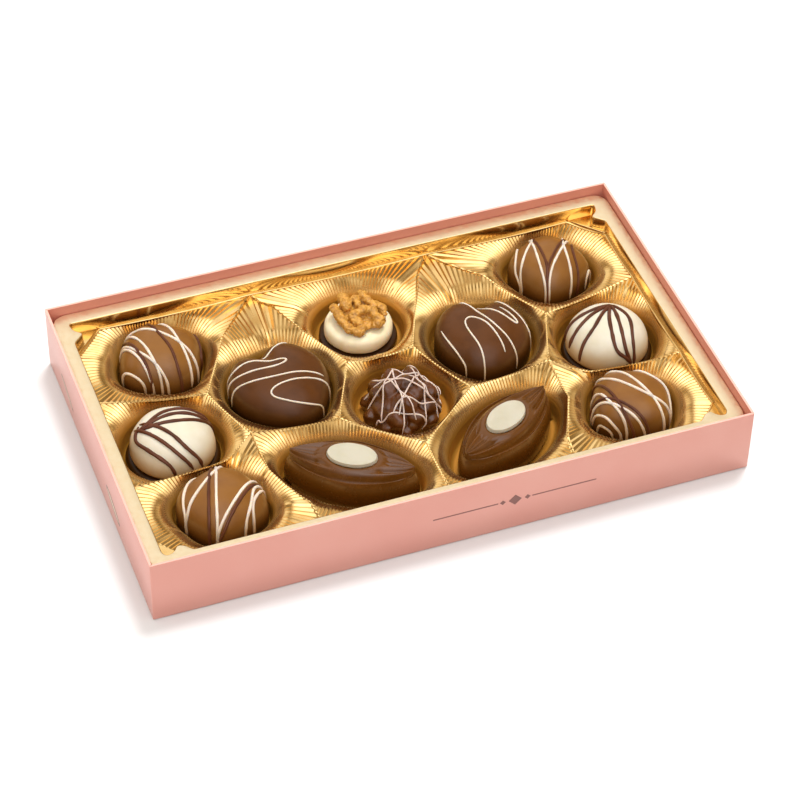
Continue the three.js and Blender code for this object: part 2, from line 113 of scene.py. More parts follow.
def flowing(points: Sequence[Vector], step: float) -> list[Vector]:
    """Points on a smooth curve through the given ones.

    Args:
        points: The points that the curve goes through.
        step: The distance between two points of the result.

    Returns:
        The curve's points, the first and last given ones among them.
    """
    path = [2 * points[0] - points[1], *points, 2 * points[-1] - points[-2]]
    result: list[Vector] = []
    for before, start, end, after in zip(path, path[1:], path[2:], path[3:]):
        count = max(1, round((end - start).length / step))
        for index in range(count):
            t = index / count
            result.append(0.5 * (2 * start + (end - before) * t
                                 + (2 * before - 5 * start + 4 * end - after) * t * t
                                 + (3 * start - before - 3 * end + after) * t ** 3))
    result.append(points[-1].copy())
    return result


# Materials.


class Graph:
    """A material's node tree, with one short call for each kind of node."""

    def __init__(self, name: str) -> None:
        """Start a material that has a plain shader.

        Args:
            name: The material's name.
        """
        self.material = bpy.data.materials.new(name)
        self.material.use_nodes = True
        self.tree = self.material.node_tree
        self.shader = self.tree.nodes["Principled BSDF"]
        self.position = self.tree.nodes.new("ShaderNodeTexCoord").outputs["Object"]

    def set(self, **values: object) -> None:
        """Set the shader's own sockets, named with underscores for spaces."""
        for name, value in values.items():
            self.shader.inputs[name.replace("_", " ")].default_value = value

    def drive(self, socket: str, output: bpy.types.NodeSocket) -> None:
        """Let a node's output drive one of the shader's sockets."""
        self.tree.links.new(output, self.shader.inputs[socket])

    def noise(self, size: float, detail: float) -> bpy.types.NodeSocket:
        """Noise on the piece's own coordinates.

        Args:
            size: How many millimetres a lump is across, about.
            detail: How many finer layers lie on the lumps.

        Returns:
            The noise's value, from 0 to 1.
        """
        node = self.tree.nodes.new("ShaderNodeTexNoise")
        node.inputs["Scale"].default_value = 1 / (size * MM)
        node.inputs["Detail"].default_value = detail
        self.tree.links.new(self.position, node.inputs["Vector"])
        return node.outputs["Fac"]

    def height(self) -> bpy.types.NodeSocket:
        """The height above the floor.

        Returns:
            The height in metres.
        """
        split = self.tree.nodes.new("ShaderNodeSeparateXYZ")
        self.tree.links.new(self.position, split.inputs[0])
        return split.outputs["Z"]

    def fade(self, value: bpy.types.NodeSocket, low: float, high: float, first: float = 0,
             last: float = 1) -> bpy.types.NodeSocket:
        """Map a value smoothly to another range.

        Args:
            value: The value to map.
            low: Where the result is first.
            high: Where the result is last.
            first: The result at low and under it.
            last: The result at high and over it.

        Returns:
            The mapped value.
        """
        node = self.tree.nodes.new("ShaderNodeMapRange")
        node.interpolation_type = "SMOOTHSTEP"
        for socket, number in zip(("From Min", "From Max", "To Min", "To Max"), (low, high, first, last)):
            node.inputs[socket].default_value = number
        self.tree.links.new(value, node.inputs["Value"])
        return node.outputs["Result"]

    def blend(self, share: bpy.types.NodeSocket, first: object, second: object) -> bpy.types.NodeSocket:
        """Mix two colours, each a node's output or a colour.

        Args:
            share: How much of the second colour is in the mix.
            first: The colour where share is 0.
            second: The colour where share is 1.

        Returns:
            The mixed colour.
        """
        node = self.tree.nodes.new("ShaderNodeMix")
        node.data_type = "RGBA"
        self.tree.links.new(share, node.inputs["Factor"])
        for socket, colour in ((node.inputs[6], first), (node.inputs[7], second)):
            if isinstance(colour, bpy.types.NodeSocket):
                self.tree.links.new(colour, socket)
            else:
                socket.default_value = colour
        return node.outputs[2]

    def mottled(self, size: float, first: int, second: int, low: float, high: float) -> bpy.types.NodeSocket:
        """Two tones in soft blotches.

        Args:
            size: How many millimetres a blotch is across, about.
            first: The screen colour where the noise is under low.
            second: The screen colour where the noise is over high.
            low: Where the tones start to mix.
            high: Where the tones stop to mix.

        Returns:
            The mixed colour.
        """
        share = self.fade(self.noise(size, 2), low, high)
        return self.blend(share, linear(first), linear(second))

    def waver(self, roughness: float, size: float, detail: float, low: float, high: float) -> None:
        """Let the shader's roughness waver softly.

        Args:
            roughness: The roughness that it wavers round.
            size: How many millimetres a swell is across, about.
            detail: How many finer layers lie on the swells.
            low: The lowest share of the roughness.
            high: The highest share of the roughness.
        """
        self.drive("Roughness", self.fade(self.noise(size, detail), 0.3, 0.7, roughness * low,
                                          roughness * high))

    def bump(self, output: bpy.types.NodeSocket, depth: float) -> None:
        """Raise the surface by a value.

        Args:
            output: The value, from 0 to 1.
            depth: How many millimetres the surface rises where it is 1.
        """
        node = self.tree.nodes.new("ShaderNodeBump")
        node.inputs["Distance"].default_value = depth * MM
        self.tree.links.new(output, node.inputs["Height"])
        self.tree.links.new(node.outputs["Normal"], self.shader.inputs["Normal"])


@dataclass(frozen=True)
class Chocolate:
    """Chocolate, marzipan or another fatty paste: two tones in soft blotches, and painted shade near the
    foot.
    """

    name: str
    tone: int
    deep: int
    roughness: float = 0.42
    shine: float = 0.35
    coat: float = 0.0
    coat_roughness: float = 0.15
    glow: float = 0.0
    glow_depth: float = 0.002
    glow_reach: tuple[float, float, float] = (1.0, 0.6, 0.3)
    blotch: float = 6.0
    grain: float = 0.9
    relief: float = 0.03
    # The foot tone is painted shade of the pocket, and on white chocolate also a painted warm reflection of
    # the gold; it fades out between the two heights, in metres.
    foot: int | None = None
    foot_shade_from: float = 0.0065
    foot_shade_to: float = 0.0155

    def material(self) -> bpy.types.Material:
        """The finish as a material.

        Returns:
            The new material.
        """
        graph = Graph(self.name)
        colour = graph.mottled(self.blotch, self.tone, self.deep, 0.35, 0.7)
        # Painted shade: the colour darkens towards the foot tone low down.
        if self.foot is not None:
            high = graph.fade(graph.height(), self.foot_shade_from, self.foot_shade_to)
            colour = graph.blend(high, linear(self.foot), colour)
        graph.drive("Base Color", colour)
        graph.waver(self.roughness, self.blotch * 0.6, 3, 0.85, 1.2)
        graph.set(Coat_Weight=self.coat, Coat_Roughness=self.coat_roughness, Specular_IOR_Level=self.shine,
                  Subsurface_Weight=self.glow, Subsurface_Scale=self.glow_depth,
                  Subsurface_Radius=self.glow_reach)
        graph.bump(graph.noise(self.grain, 3), self.relief)
        return graph.material


@dataclass(frozen=True)
class Foil:
    """Metallised gold film with faint dents; low in the pockets satin, with painted amber shade and
    reflection.
    """

    name: str
    tone: int
    shade: int
    roughness: float = 0.22
    blotch: float = 4.0
    grain: float = 1.6
    dent: float = 9.0
    dent_depth: float = 0.25
    # Low in the pockets the amber colour is painted shade and painted inter-reflection of the gold, and the
    # foil turns rougher and less metallic there; the change runs between the two heights, in metres.
    amber_shade: int | None = None
    deep_roughness: float = 0.38
    deep_metallic: float = 0.62
    amber_shade_from: float = 0.0092
    amber_shade_to: float = 0.0146

    def material(self) -> bpy.types.Material:
        """The finish as a material.

        Returns:
            The new material.
        """
        graph = Graph(self.name)
        colour = graph.mottled(self.blotch, self.tone, self.shade, 0.35, 0.7)
        if self.amber_shade is None:
            graph.waver(self.roughness, self.grain, 3, 0.8, 1.3)
            graph.set(Metallic=1.0)
        else:
            # Painted shade and reflection: amber colour towards the pockets' floors.
            high = graph.fade(graph.height(), self.amber_shade_from, self.amber_shade_to)
            colour = graph.blend(high, linear(self.amber_shade), colour)
            graph.drive("Roughness", graph.fade(high, 0, 1, self.deep_roughness, self.roughness))
            graph.drive("Metallic", graph.fade(high, 0, 1, self.deep_metallic, 1))
        graph.drive("Base Color", colour)
        graph.bump(graph.noise(self.dent, 1), self.dent_depth)
        return graph.material


@dataclass(frozen=True)
class Card:
    """Coated card with a pearly sheen, printed in one colour."""

    name: str
    tone: int
    light: int
    roughness: float = 0.38
    metallic: float = 0.25
    coat: float = 0.3
    coat_roughness: float = 0.25
    blotch: float = 30.0
    sheen_size: float = 0.8
    fibre: float = 0.35
    relief: float = 0.004

    def material(self) -> bpy.types.Material:
        """The finish as a material.

        Returns:
            The new material.
        """
        graph = Graph(self.name)
        graph.drive("Base Color", graph.mottled(self.blotch, self.tone, self.light, 0.3, 0.75))
        graph.waver(self.roughness, self.sheen_size, 2, 0.92, 1.08)
        graph.set(Metallic=self.metallic, Coat_Weight=self.coat, Coat_Roughness=self.coat_roughness)
        graph.bump(graph.noise(self.fibre, 2), self.relief)
        return graph.material


class Palette:
    """All finishes, each made once."""

    def __init__(self) -> None:
        """Make the materials."""
        self.card = Card("card_outside", 0xCB8D80, 0xCE9487).material()
        # The inside's deeper pink is painted shade and painted inter-reflection between the walls.
        self.card_inside_shaded = Card("card_inside_shaded", 0xC97E6A, 0xCF8570, roughness=0.5, metallic=0.1).material()
        self.card_edge = Card("card_edge", 0xE6AB9D, 0xE9B3A5, roughness=0.6, metallic=0.0).material()
        # The foil's amber low in the pockets is painted shade and painted reflection of the gold.
        self.foil = Foil("gold_foil", 0xF9D694, 0xF4CC86, roughness=0.19, dent_depth=0.06,
                         amber_shade=0xC98C34).material()
        self.rim = Foil("gold_rim", 0xFEF0D0, 0xFDEECC, roughness=0.45, dent=60, dent_depth=0.05).material()
        self.ink = Card("brown_ink", 0x7A4A40, 0x70423A, metallic=0.0).material()
        # The slits' dark brown is painted shade in their openings, and their cream middle is a painted
        # highlight.
        self.slit_shade = Card("slit_shade", 0x76604E, 0x6C5645, metallic=0.0).material()
        self.slit_highlight = Card("slit_highlight", 0xD8C4AC, 0xD0BAA0, metallic=0.0).material()
        # Each foot tone of these chocolates is painted shade low in the pockets.
        self.milk = Chocolate("milk_chocolate", 0x7F521D, 0x764A19, roughness=0.36, shine=0.45,
                              foot=0x442505, foot_shade_to=0.0195).material()
        self.moulded = Chocolate("moulded_milk", 0x5C3409, 0x542F06, roughness=0.24, shine=0.5,
                                 relief=0.004, foot=0x4C2906).material()
        self.dark = Chocolate("dark_chocolate", 0x532D0C, 0x4A2708, roughness=0.37, shine=0.3,
                              foot=0x2C1500, foot_shade_to=0.018).material()
        self.glossy_dark = Chocolate("glossy_dark", 0x552B0C, 0x401E06, roughness=0.26, shine=0.45,
                                     coat=0.1, relief=0.05).material()
        # The white's foot tone is painted shade, with a painted warm reflection of the gold.
        self.white = Chocolate("white_chocolate", 0xD6D0BF, 0xD0C8B3, roughness=0.42, glow=0.2,
                               foot=0xAE8A50, foot_shade_to=0.0195).material()
        self.oval = Chocolate("oval_white", 0xB8B2A0, 0xB1AA95, roughness=0.4, glow=0.2).material()
        self.marzipan = Chocolate("marzipan", 0xE9DFC2, 0xDFD2AE, roughness=0.5, glow=0.3,
                                  relief=0.08).material()
        self.walnut = Chocolate("walnut", 0xCE9844, 0xAA762A, roughness=0.34, shine=0.6, glow=0.15,
                                blotch=1.6, grain=0.7, relief=0.08).material()
        # The threads' foot tone is painted shade, with a painted warm reflection of the gold.
        self.white_thread = Chocolate("white_thread", 0xDFD0C1, 0xD7C5B4, roughness=0.4, glow=0.3,
                                      foot=0xA98B63, foot_shade_to=0.02).material()
        self.pink_thread = Chocolate("pale_thread", 0xD3BFB4, 0xC9AFA3, roughness=0.4, glow=0.2).material()
        self.dark_thread = Chocolate("dark_thread", 0x5A301C, 0x4C2614, roughness=0.35).material()


# Meshes and finished pieces.


def finish_piece(name: str, mesh: bmesh.types.BMesh, materials: Sequence[bpy.types.Material],
                 stands_for: Sequence[str], sharp: float = 40) -> bpy.types.Object:
    """Turn a mesh in millimetres into a finished object that rides on the box.

    Args:
        name: The piece's name.
        mesh: The piece's mesh, in place. It is used up.
        materials: The piece's materials, by face material index.
        stands_for: The CAD nodes that the piece replaces.
        sharp: Edges that turn by more than this many degrees are shaded sharp.

    Returns:
        The new object.
    """
    bmesh.ops.scale(mesh, vec=(MM, MM, MM), verts=mesh.verts)
    for face in mesh.faces:
        face.smooth = True
    data = bpy.data.meshes.new(name)
    mesh.to_mesh(data)
    mesh.free()
    if sharp < 180:
        data.set_sharp_from_angle(angle=math.radians(sharp))
    for material in materials:
        data.materials.append(material)
    piece = bpy.data.objects.new(name, data)
    bpy.context.scene.collection.objects.link(piece)
    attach(piece, BODY)
    if stands_for:
        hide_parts(*stands_for)
    LOG.info("%s: %d faces", name, len(data.polygons))
    return piece


def give_thickness(piece: bpy.types.Object, thickness: float) -> bpy.types.Modifier:
    """Make a sheet a shell, with the new side behind its faces.

    Args:
        piece: The sheet.
        thickness: How thick it is, in millimetres.

    Returns:
        The modifier, for further settings.
    """
    shell = piece.modifiers.new("thickness", "SOLIDIFY")
    shell.thickness = thickness * MM
    shell.offset = -1
    return shell


def melted(mesh: bmesh.types.BMesh, voxel: float, smooth: int) -> bmesh.types.BMesh:
    """Join overlapping lumps into one skin.

    Args:
        mesh: The lumps, in millimetres. It is used up.
        voxel: The size of the new faces.
        smooth: How many times the skin is smoothed.

    Returns:
        The skin as a new mesh.
    """
    data = bpy.data.meshes.new("lumps")
    mesh.to_mesh(data)
    mesh.free()
    lumps = bpy.data.objects.new("lumps", data)
    bpy.context.scene.collection.objects.link(lumps)
    remesh = lumps.modifiers.new("skin", "REMESH")
    remesh.mode = "VOXEL"
    remesh.voxel_size = voxel
    skin = bmesh.new()
    skin.from_object(lumps, bpy.context.evaluated_depsgraph_get())
    bpy.data.objects.remove(lumps)
    bpy.data.meshes.remove(data)
    for _ in range(smooth):
        bmesh.ops.smooth_vert(skin, verts=skin.verts, factor=0.5, use_axis_x=True, use_axis_y=True,
                              use_axis_z=True)
    return skin


def face_up(mesh: bmesh.types.BMesh) -> None:
    """Point a sheet's faces upwards.

    Args:
        mesh: The sheet's mesh.
    """
    bmesh.ops.recalc_face_normals(mesh, faces=mesh.faces)
    if sum(face.normal.z * face.calc_area() for face in mesh.faces) < 0:
        bmesh.ops.reverse_faces(mesh, faces=mesh.faces)


def rounded(mesh: bmesh.types.BMesh, edges: Sequence[bmesh.types.BMEdge], width: float) -> None:
    """Round edges, over a width to each side of them."""
    bmesh.ops.bevel(mesh, geom=edges, offset=width, offset_type="OFFSET", segments=3, profile=0.5,
                    affect="EDGES", material=-1)


def extruded(mesh: bmesh.types.BMesh, edges: Sequence[bmesh.types.BMEdge],
             ) -> tuple[list[bmesh.types.BMVert], list[bmesh.types.BMEdge]]:
    """Extrude an open border.

    Args:
        mesh: The mesh to change.
        edges: The border's edges.

    Returns:
        The new points, still in the old border's places, and the new border's edges.
    """
    made = bmesh.ops.extrude_edge_only(mesh, edges=edges)["geom"]
    points = [item for item in made if isinstance(item, bmesh.types.BMVert)]
    return points, [item for item in made if isinstance(item, bmesh.types.BMEdge) and item.is_boundary]


def draw_in(points: Iterable[bmesh.types.BMVert], length: float) -> None:
    """Move points towards both of the box's middle lines.

    Args:
        points: The points.
        length: How far they move along each axis.
    """
    for point in points:
        for axis in (0, 1):
            point.co[axis] -= math.copysign(min(length, abs(point.co[axis])), point.co[axis])


def spun(profile: Sequence[Plan], steps: int, outline: Outline | None = None) -> bmesh.types.BMesh:
    """A closed body: a profile spun about the vertical, then widened to an outline.

    Args:
        profile: Radius and height of each point, from the middle below to the middle on top.
        steps: How many sectors it has.
        outline: The radius as a share of the largest, at an angle.

    Returns:
        The body's mesh.
    """
    mesh = bmesh.new()
    corners = [mesh.verts.new((radius, 0, height)) for radius, height in profile]
    edges = [mesh.edges.new(pair) for pair in zip(corners, corners[1:])]
    bmesh.ops.spin(mesh, geom=corners + edges, cent=(0, 0, 0), axis=(0, 0, 1), dvec=(0, 0, 0),
                   angle=2 * math.pi, steps=steps, use_merge=True, use_duplicate=False)
    bmesh.ops.remove_doubles(mesh, verts=mesh.verts, dist=MERGED)
    bmesh.ops.recalc_face_normals(mesh, faces=mesh.faces)
    if outline:
        for vertex in mesh.verts:
            share = outline(math.atan2(vertex.co.y, vertex.co.x))
            vertex.co.x *= share
            vertex.co.y *= share
    return mesh


def rods(paths: Sequence[Sequence[tuple[Vector, float]]], roundness: int = 2) -> bmesh.types.BMesh:
    """Round rods along paths.

    Args:
        paths: Points along each rod, with the rod's radius at each.
        roundness: How finely the rods are rounded.

    Returns:
        The rods' mesh.
    """
    curve = bpy.data.curves.new("rods", "CURVE")
    curve.dimensions = "3D"
    curve.bevel_depth = 1
    curve.bevel_resolution = roundness
    curve.use_fill_caps = True
    for path in paths:
        spline = curve.splines.new("POLY")
        spline.points.add(len(path) - 1)
        for point, (place, radius) in zip(spline.points, path):
            point.co = (*place, 1)
            point.radius = radius
    holder = bpy.data.objects.new("rods", curve)
    data = bpy.data.meshes.new_from_object(holder)
    mesh = bmesh.new()
    mesh.from_mesh(data)
    bpy.data.objects.remove(holder)
    bpy.data.curves.remove(curve)
    bpy.data.meshes.remove(data)
    bmesh.ops.recalc_face_normals(mesh, faces=mesh.faces)
    return mesh


def roughen(mesh: bmesh.types.BMesh, depth: float, size: float, seed: float) -> None:
    """Push a mesh in and out by soft noise, as nothing made by hand is quite even.

    Args:
        mesh: The mesh to change.
        depth: The largest push.
        size: How far apart the swells are.
        seed: A number that gives each praline its own shape.
    """
    mesh.normal_update()
    offset = Vector((seed, 2 * seed, -seed))
    for vertex in mesh.verts:
        if vertex.co.z > UNDERSIDE:
            vertex.co += vertex.normal * (noise.noise(vertex.co / size + offset) * depth)


def settle(mesh: bmesh.types.BMesh, place: Plan, base: float, turn: float) -> None:
    """Stand a mesh at its place in the box, turned about the vertical."""
    bmesh.ops.rotate(mesh, cent=(0, 0, 0), matrix=Matrix.Rotation(math.radians(turn), 3, "Z"),
                     verts=mesh.verts)
    bmesh.ops.translate(mesh, vec=(*place, base), verts=mesh.verts)


# Outlines.


def circle(_angle: float) -> float:
    """The outline of a round piece."""
    return 1.0


@dataclass(frozen=True)
class Superellipse:
    """An outline between an oval and a rectangle, or a pointed one where the power is under 2."""

    power: float
    slender: float = 1.0

    def __call__(self, angle: float) -> float:
        """The radius as a share of the largest.

        Args:
            angle: The angle from the long axis, in radians.

        Returns:
            The share.
        """
        along = abs(math.cos(angle)) ** self.power
        across = abs(math.sin(angle) / self.slender) ** self.power
        return (along + across) ** (-1 / self.power)


@dataclass(frozen=True)
class HeartShape:
    """A heart's outline: a round one with a notch behind and a soft tip in front."""

    notch: float = 0.25
    tip: float = 0.15
    notch_width: float = 0.42
    tip_width: float = 0.55

    def __call__(self, angle: float) -> float:
        """The radius as a share of the lobes' radius.

        Args:
            angle: The angle from the right, in radians.

        Returns:
            The share.
        """
        behind = math.remainder(angle - math.pi / 2, 2 * math.pi)
        ahead = math.remainder(angle + math.pi / 2, 2 * math.pi)
        notch = self.notch * bell(behind, 0, self.notch_width)
        return 1 - notch + self.tip * bell(ahead, 0, self.tip_width)


# The card box.


@dataclass
class CardBox:
    """The folded card box without its lid, with a plain ruled ornament on its front wall."""

    length: float = 200.0
    width: float = 122.0
    height: float = 24.0
    card: float = 0.8
    fold: float = 0.45
    cut_edge: float = 0.16
    proud: float = 0.05
    rule_from: float = -9.0
    rule_to: float = 46.0
    rule_height: float = 12.6
    rule_width: float = 0.45
    lozenge: float = 2.2
    rule_gap: float = 2.6
    small_lozenge: float = 0.45
    small_away: float = 1.9
    slit_proud: float = 0.6
    slit_inset: float = 0.08
    slit_core: float = 0.45
    slits: tuple[tuple[Plan, Plan, float], ...] = (
        ((43.4, 10.6), (29.6, 5.6), 1.9),
        ((-10.5, 10.5), (-25.4, 6.2), 3.4),
    )

    def walls(self, palette: Palette) -> None:
        """The floor and the four walls.

        Args:
            palette: The finishes.
        """
        mesh = bmesh.new()
        bmesh.ops.create_cube(mesh, size=1)
        inner = 2 * self.proud
        bmesh.ops.scale(mesh, vec=(self.length - inner, self.width - inner, self.height), verts=mesh.verts)
        bmesh.ops.translate(mesh, vec=(0, 0, self.height / 2), verts=mesh.verts)
        lid = [face for face in mesh.faces if face.normal.z > 0.9]
        bmesh.ops.delete(mesh, geom=lid, context="FACES_ONLY")
        folds = [edge for edge in mesh.edges if len(edge.link_faces) == 2]
        rounded(mesh, folds, self.fold)
        materials = (palette.card, palette.card_inside_shaded, palette.card_edge)
        piece = finish_piece("card_walls", mesh, materials, ["card_box"])
        shell = give_thickness(piece, self.card)
        shell.material_offset = 1
        shell.material_offset_rim = 2
        soften = piece.modifiers.new("edges", "BEVEL")
        soften.width = self.cut_edge * MM
        soften.segments = 2
        soften.limit_method = "ANGLE"
        soften.angle_limit = math.radians(60)

    def bar(self, mesh: bmesh.types.BMesh, start: Vector, end: Vector, across: Vector, out: Vector,
            pointed: bool = False, material: int = 0) -> None:
        """Add a thin bar or lens that lies on a wall.

        Args:
            mesh: The mesh that it is added to.
            start: The middle of its first end.
            end: The middle of its other end.
            across: Its width, as a vector.
            out: Its thickness, as a vector off the wall.
            pointed: Whether it is a lens, pointed at both ends.
            material: Its faces' material index.
        """
        if pointed:
            made = bmesh.ops.create_cone(mesh, cap_ends=True, segments=32, radius1=0.5, radius2=0.5,
                                         depth=1)["verts"]
        else:
            made = bmesh.ops.create_cube(mesh, size=1)["verts"]
        along = end - start
        frame_of_bar = Matrix((along, across, out)).transposed().to_4x4()
        frame_of_bar.translation = (start + end + out) / 2
        bmesh.ops.transform(mesh, matrix=frame_of_bar, verts=made)
        for face in {face for vertex in made for face in vertex.link_faces}:
            face.material_index = material

    def ornament(self, palette: Palette) -> None:
        """A thin rule with lozenges on the front wall, where a print would be.

        Args:
            palette: The finishes.
        """
        mesh = bmesh.new()
        face = -self.width / 2 + self.proud
        out = Vector((0, -self.proud, 0))
        middle = (self.rule_from + self.rule_to) / 2
        gap = self.rule_gap * self.lozenge
        away = self.small_away * self.lozenge
        small = self.small_lozenge * self.lozenge
        for start, end in ((self.rule_from, middle - gap), (middle + gap, self.rule_to)):
            self.bar(mesh, Vector((start, face, self.rule_height)), Vector((end, face, self.rule_height)),
                     Vector((0, 0, self.rule_width)), out)
        for place, size in ((middle, self.lozenge), (middle - away, small), (middle + away, small)):
            low = Vector((place - size / 2, face, self.rule_height - size / 2))
            high = Vector((place + size / 2, face, self.rule_height + size / 2))
            self.bar(mesh, low, high, Vector((size, 0, -size)), out)
        bmesh.ops.recalc_face_normals(mesh, faces=mesh.faces)
        finish_piece("front_ornament", mesh, [palette.ink], [])

    def slots(self, palette: Palette) -> None:
        """The two slanted slits in the left wall.

        Args:
            palette: The finishes.
        """
        mesh = bmesh.new()
        face = -self.length / 2 + self.proud
        for (y0, z0), (y1, z1), wide in self.slits:
            start, end = Vector((face, y0, z0)), Vector((face, y1, z1))
            across = Vector((1, 0, 0)).cross(end - start).normalized()
            out = Vector((-self.proud, 0, 0))
            # Each slit is a dark lens of painted shade, with a narrower cream lens of painted highlight along
            # its middle.
            self.bar(mesh, start, end, across * wide, out * self.slit_proud, pointed=True)
            inset = self.slit_inset * (end - start)
            self.bar(mesh, start + inset, end - inset, across * self.slit_core * wide, out, pointed=True,
                     material=1)
        bmesh.ops.recalc_face_normals(mesh, faces=mesh.faces)
        finish_piece("wall_slits", mesh, [palette.slit_shade, palette.slit_highlight], [])

    def build(self, palette: Palette) -> None:
        """Make every piece of the box.

        Args:
            palette: The finishes.
        """
        self.walls(palette)
        self.ornament(palette)
        self.slots(palette)


# The tray.

RECESS = Vector((94.0, 55.0))
FIELD_TOP = 15.4  # the height of the ridges' ends
RIDGE_SAG = 0.7  # how far a ridge sags in its middle
PARALLEL = 1e-9  # lines that cross less than this never meet
TOUCHING = 1e-6  # how near counts as on a line
PLEAT_STEP = 1.7  # from pleat to pleat in the noise that makes them uneven
ROW_STEP = 0.12  # from row to row in the same noise
STRAIGHT = math.radians(160)  # a corner more open than this isn't rounded
LONGEST_CUT = 0.45  # the largest share of a side that a round corner takes

CORNERS: dict[str, Plan] = {
    "wall_back": (94, 21), "wall_front": (94, -18.8),
    "back_heart": (59.2, 13.8), "front_heart": (51.2, -8), "heart_bend": (46, 38.5),
    "back_edge": (31.5, 55), "round_bend": (26.2, 47.5), "heart_near": (11.3, 13.3),
    "cluster_side": (22.6, -11), "dome_bend": (62.4, -17.2), "boat_bend": (51, -25.5),
    "boat_front": (43.2, -43.4), "front_edge": (42, -55),
    "shelf_back_side": (94, 44), "shelf_back_end": (83.5, 55),
    "shelf_front_side": (94, -44), "shelf_front_end": (83.5, -55),
    "cluster_back": (0, 12), "cluster_front": (0, -30), "boats_edge": (0, -55),
}


def ridge(share: float) -> float:
    """A ridge's height at a share of its length, as it sags between its ends."""
    return FIELD_TOP - RIDGE_SAG * 4 * share * (1 - share)


@dataclass
class Column:
    """One line of a pocket's wall: where it leaves the wall, which way, how far, and how high it ends."""

    start: Vector
    way: Vector
    reach: float
    crest: float


@dataclass
class Pocket:
    """One pocket of the tray, out to the ridges that it shares with its neighbours."""

    name: str
    place: Plan
    half: float
    outline: Outline
    turn: float
    ring: tuple[Plan, ...]
    clearance: float = 1.6
    floor: float = 4.6
    wall_top: float = 9.5
    lean: float = 0.9
    flare: float = 7.0
    flare_power: float = 1.8
    flare_root: float = 1.3
    slope: float = 0.16
    pitch: float = 1.15
    pitch_at: float = 0.7
    pleat_depth: float = 0.165
    pleat_uneven: float = 0.2
    full_from: float = 0.3
    crest_from: float = 0.92
    crest_loss: float = 0.4
    fold_from: float = 0.12
    lip: tuple[float, float, float] = (0.35, 0.9, 0.3)
    foil: float = 0.25
    rows: int = 18
    row_power: float = 1.35
    crest_gap: float = 0.6
    samples: int = 720
    probe: float = 0.01

    def room(self, angle: float) -> float:
        """The pocket's radius at an angle, before its neighbours cut into it."""
        return self.half * self.outline(angle - math.radians(self.turn)) + self.clearance

    def meet(self, start: Vector, way: Vector) -> tuple[float, float]:
        """Where a line meets the ring.

        Args:
            start: Where the line starts.
            way: Its direction.

        Returns:
            The distance to the ring, and the height of the ridge there.
        """
        best = (math.inf, FIELD_TOP)
        for a, b in zip(self.ring, self.ring[1:] + self.ring[:1]):
            side = Vector(b) - Vector(a)
            to_side = Vector(a) - start
            cross = way.x * side.y - way.y * side.x
            if abs(cross) < PARALLEL:
                continue
            distance = (to_side.x * side.y - to_side.y * side.x) / cross
            share = (to_side.x * way.y - to_side.y * way.x) / cross
            if TOUCHING < distance < best[0] and -TOUCHING <= share <= 1 + TOUCHING:
                best = (distance, ridge(share))
        return best

    def wall_line(self) -> tuple[list[Vector], list[Vector]]:
        """The top of the pocket's wall in plan.

        Returns:
            Points all round it, and the way outwards at each.
        """
        middle = Vector(self.place)
        points, normals = [], []
        for index in range(self.samples):
            angle = 2 * math.pi * index / self.samples
            way = heading(angle)
            ahead = heading(angle + self.probe) * self.room(angle + self.probe)
            behind = heading(angle - self.probe) * self.room(angle - self.probe)
            tangent = (ahead - behind).normalized()
            limit = self.meet(middle, way)[0] - self.crest_gap
            points.append(middle + way * min(self.room(angle), limit))
            normals.append(Vector((tangent.y, -tangent.x)))
        return points, normals

    def columns(self) -> list[Column]:
        """The lines of the pocket's wall, two to a pleat.

        Returns:
            Evenly spaced columns round the pocket, one of them to each corner of the ring.
        """
        points, normals = self.wall_line()
        offset = [point + normal * self.pitch_at * self.flare for point, normal in zip(points, normals)]
        lengths = [0.0]
        for a, b in zip(offset, offset[1:] + offset[:1]):
            lengths.append(lengths[-1] + (b - a).length)
        total = 2 * round(lengths[-1] / self.pitch)
        result, at = [], 0
        for index in range(total):
            wanted = lengths[-1] * index / total
            while lengths[at + 1] < wanted:
                at += 1
            share = (wanted - lengths[at]) / (lengths[at + 1] - lengths[at])
            after = (at + 1) % self.samples
            start = points[at].lerp(points[after], share)
            way = normals[at].lerp(normals[after], share).normalized()
            reach, crest = self.meet(start, way)
            result.append(Column(start, way, reach, crest))
        for corner in self.ring:
            ends = [(column.start + column.way * column.reach - Vector(corner)).length for column in result]
            column = result[ends.index(min(ends))]
            to_corner = Vector(corner) - column.start
            column.way, column.reach, column.crest = to_corner.normalized(), to_corner.length, FIELD_TOP
        return result

    def rise(self, share: float) -> float:
        """The flare's height at a share of its reach: steep at the wall, level at the ridge."""
        return (1 - (1 - min(1.0, share)) ** self.flare_power) ** (1 / self.flare_root)

    def section(self, column: Column) -> list[tuple[float, float, float]]:
        """One column's points from the pocket's middle to the ridge.

        Args:
            column: The column.

        Returns:
            Distance from the wall, height, and how deep the pleats are there from 0 to 1.
        """
        inwards = (Vector(self.place) - column.start).length
        points = [
            (-inwards, self.floor, 0.0), (-self.lean - 1.4, self.floor, 0.0),
            (-self.lean - 0.3, self.floor + 0.15, 0.0), (-self.lean + 0.1, self.floor + 0.8, 0.0),
            (-0.3, self.wall_top - 1.0, 0.0), (-0.12, self.wall_top - 0.15, 0.0), (0.0, self.wall_top, 0.0),
        ]
        lift = column.crest - self.wall_top
        curved = (1 - self.slope) * lift / self.rise(column.reach / self.flare)
        for row in range(1, self.rows + 1):
            share = (row / self.rows) ** self.row_power
            distance = column.reach * share
            height = self.wall_top + curved * self.rise(distance / self.flare) + self.slope * lift * share
            depth = smoothstep(0, self.full_from, distance / min(column.reach, self.flare))
            depth *= 1 - self.crest_loss * smoothstep(self.crest_from, 1, share)
            points.append((distance, height, depth))
        beyond, below, depth = self.lip
        points.append((column.reach + beyond, column.crest - below, depth))
        return points

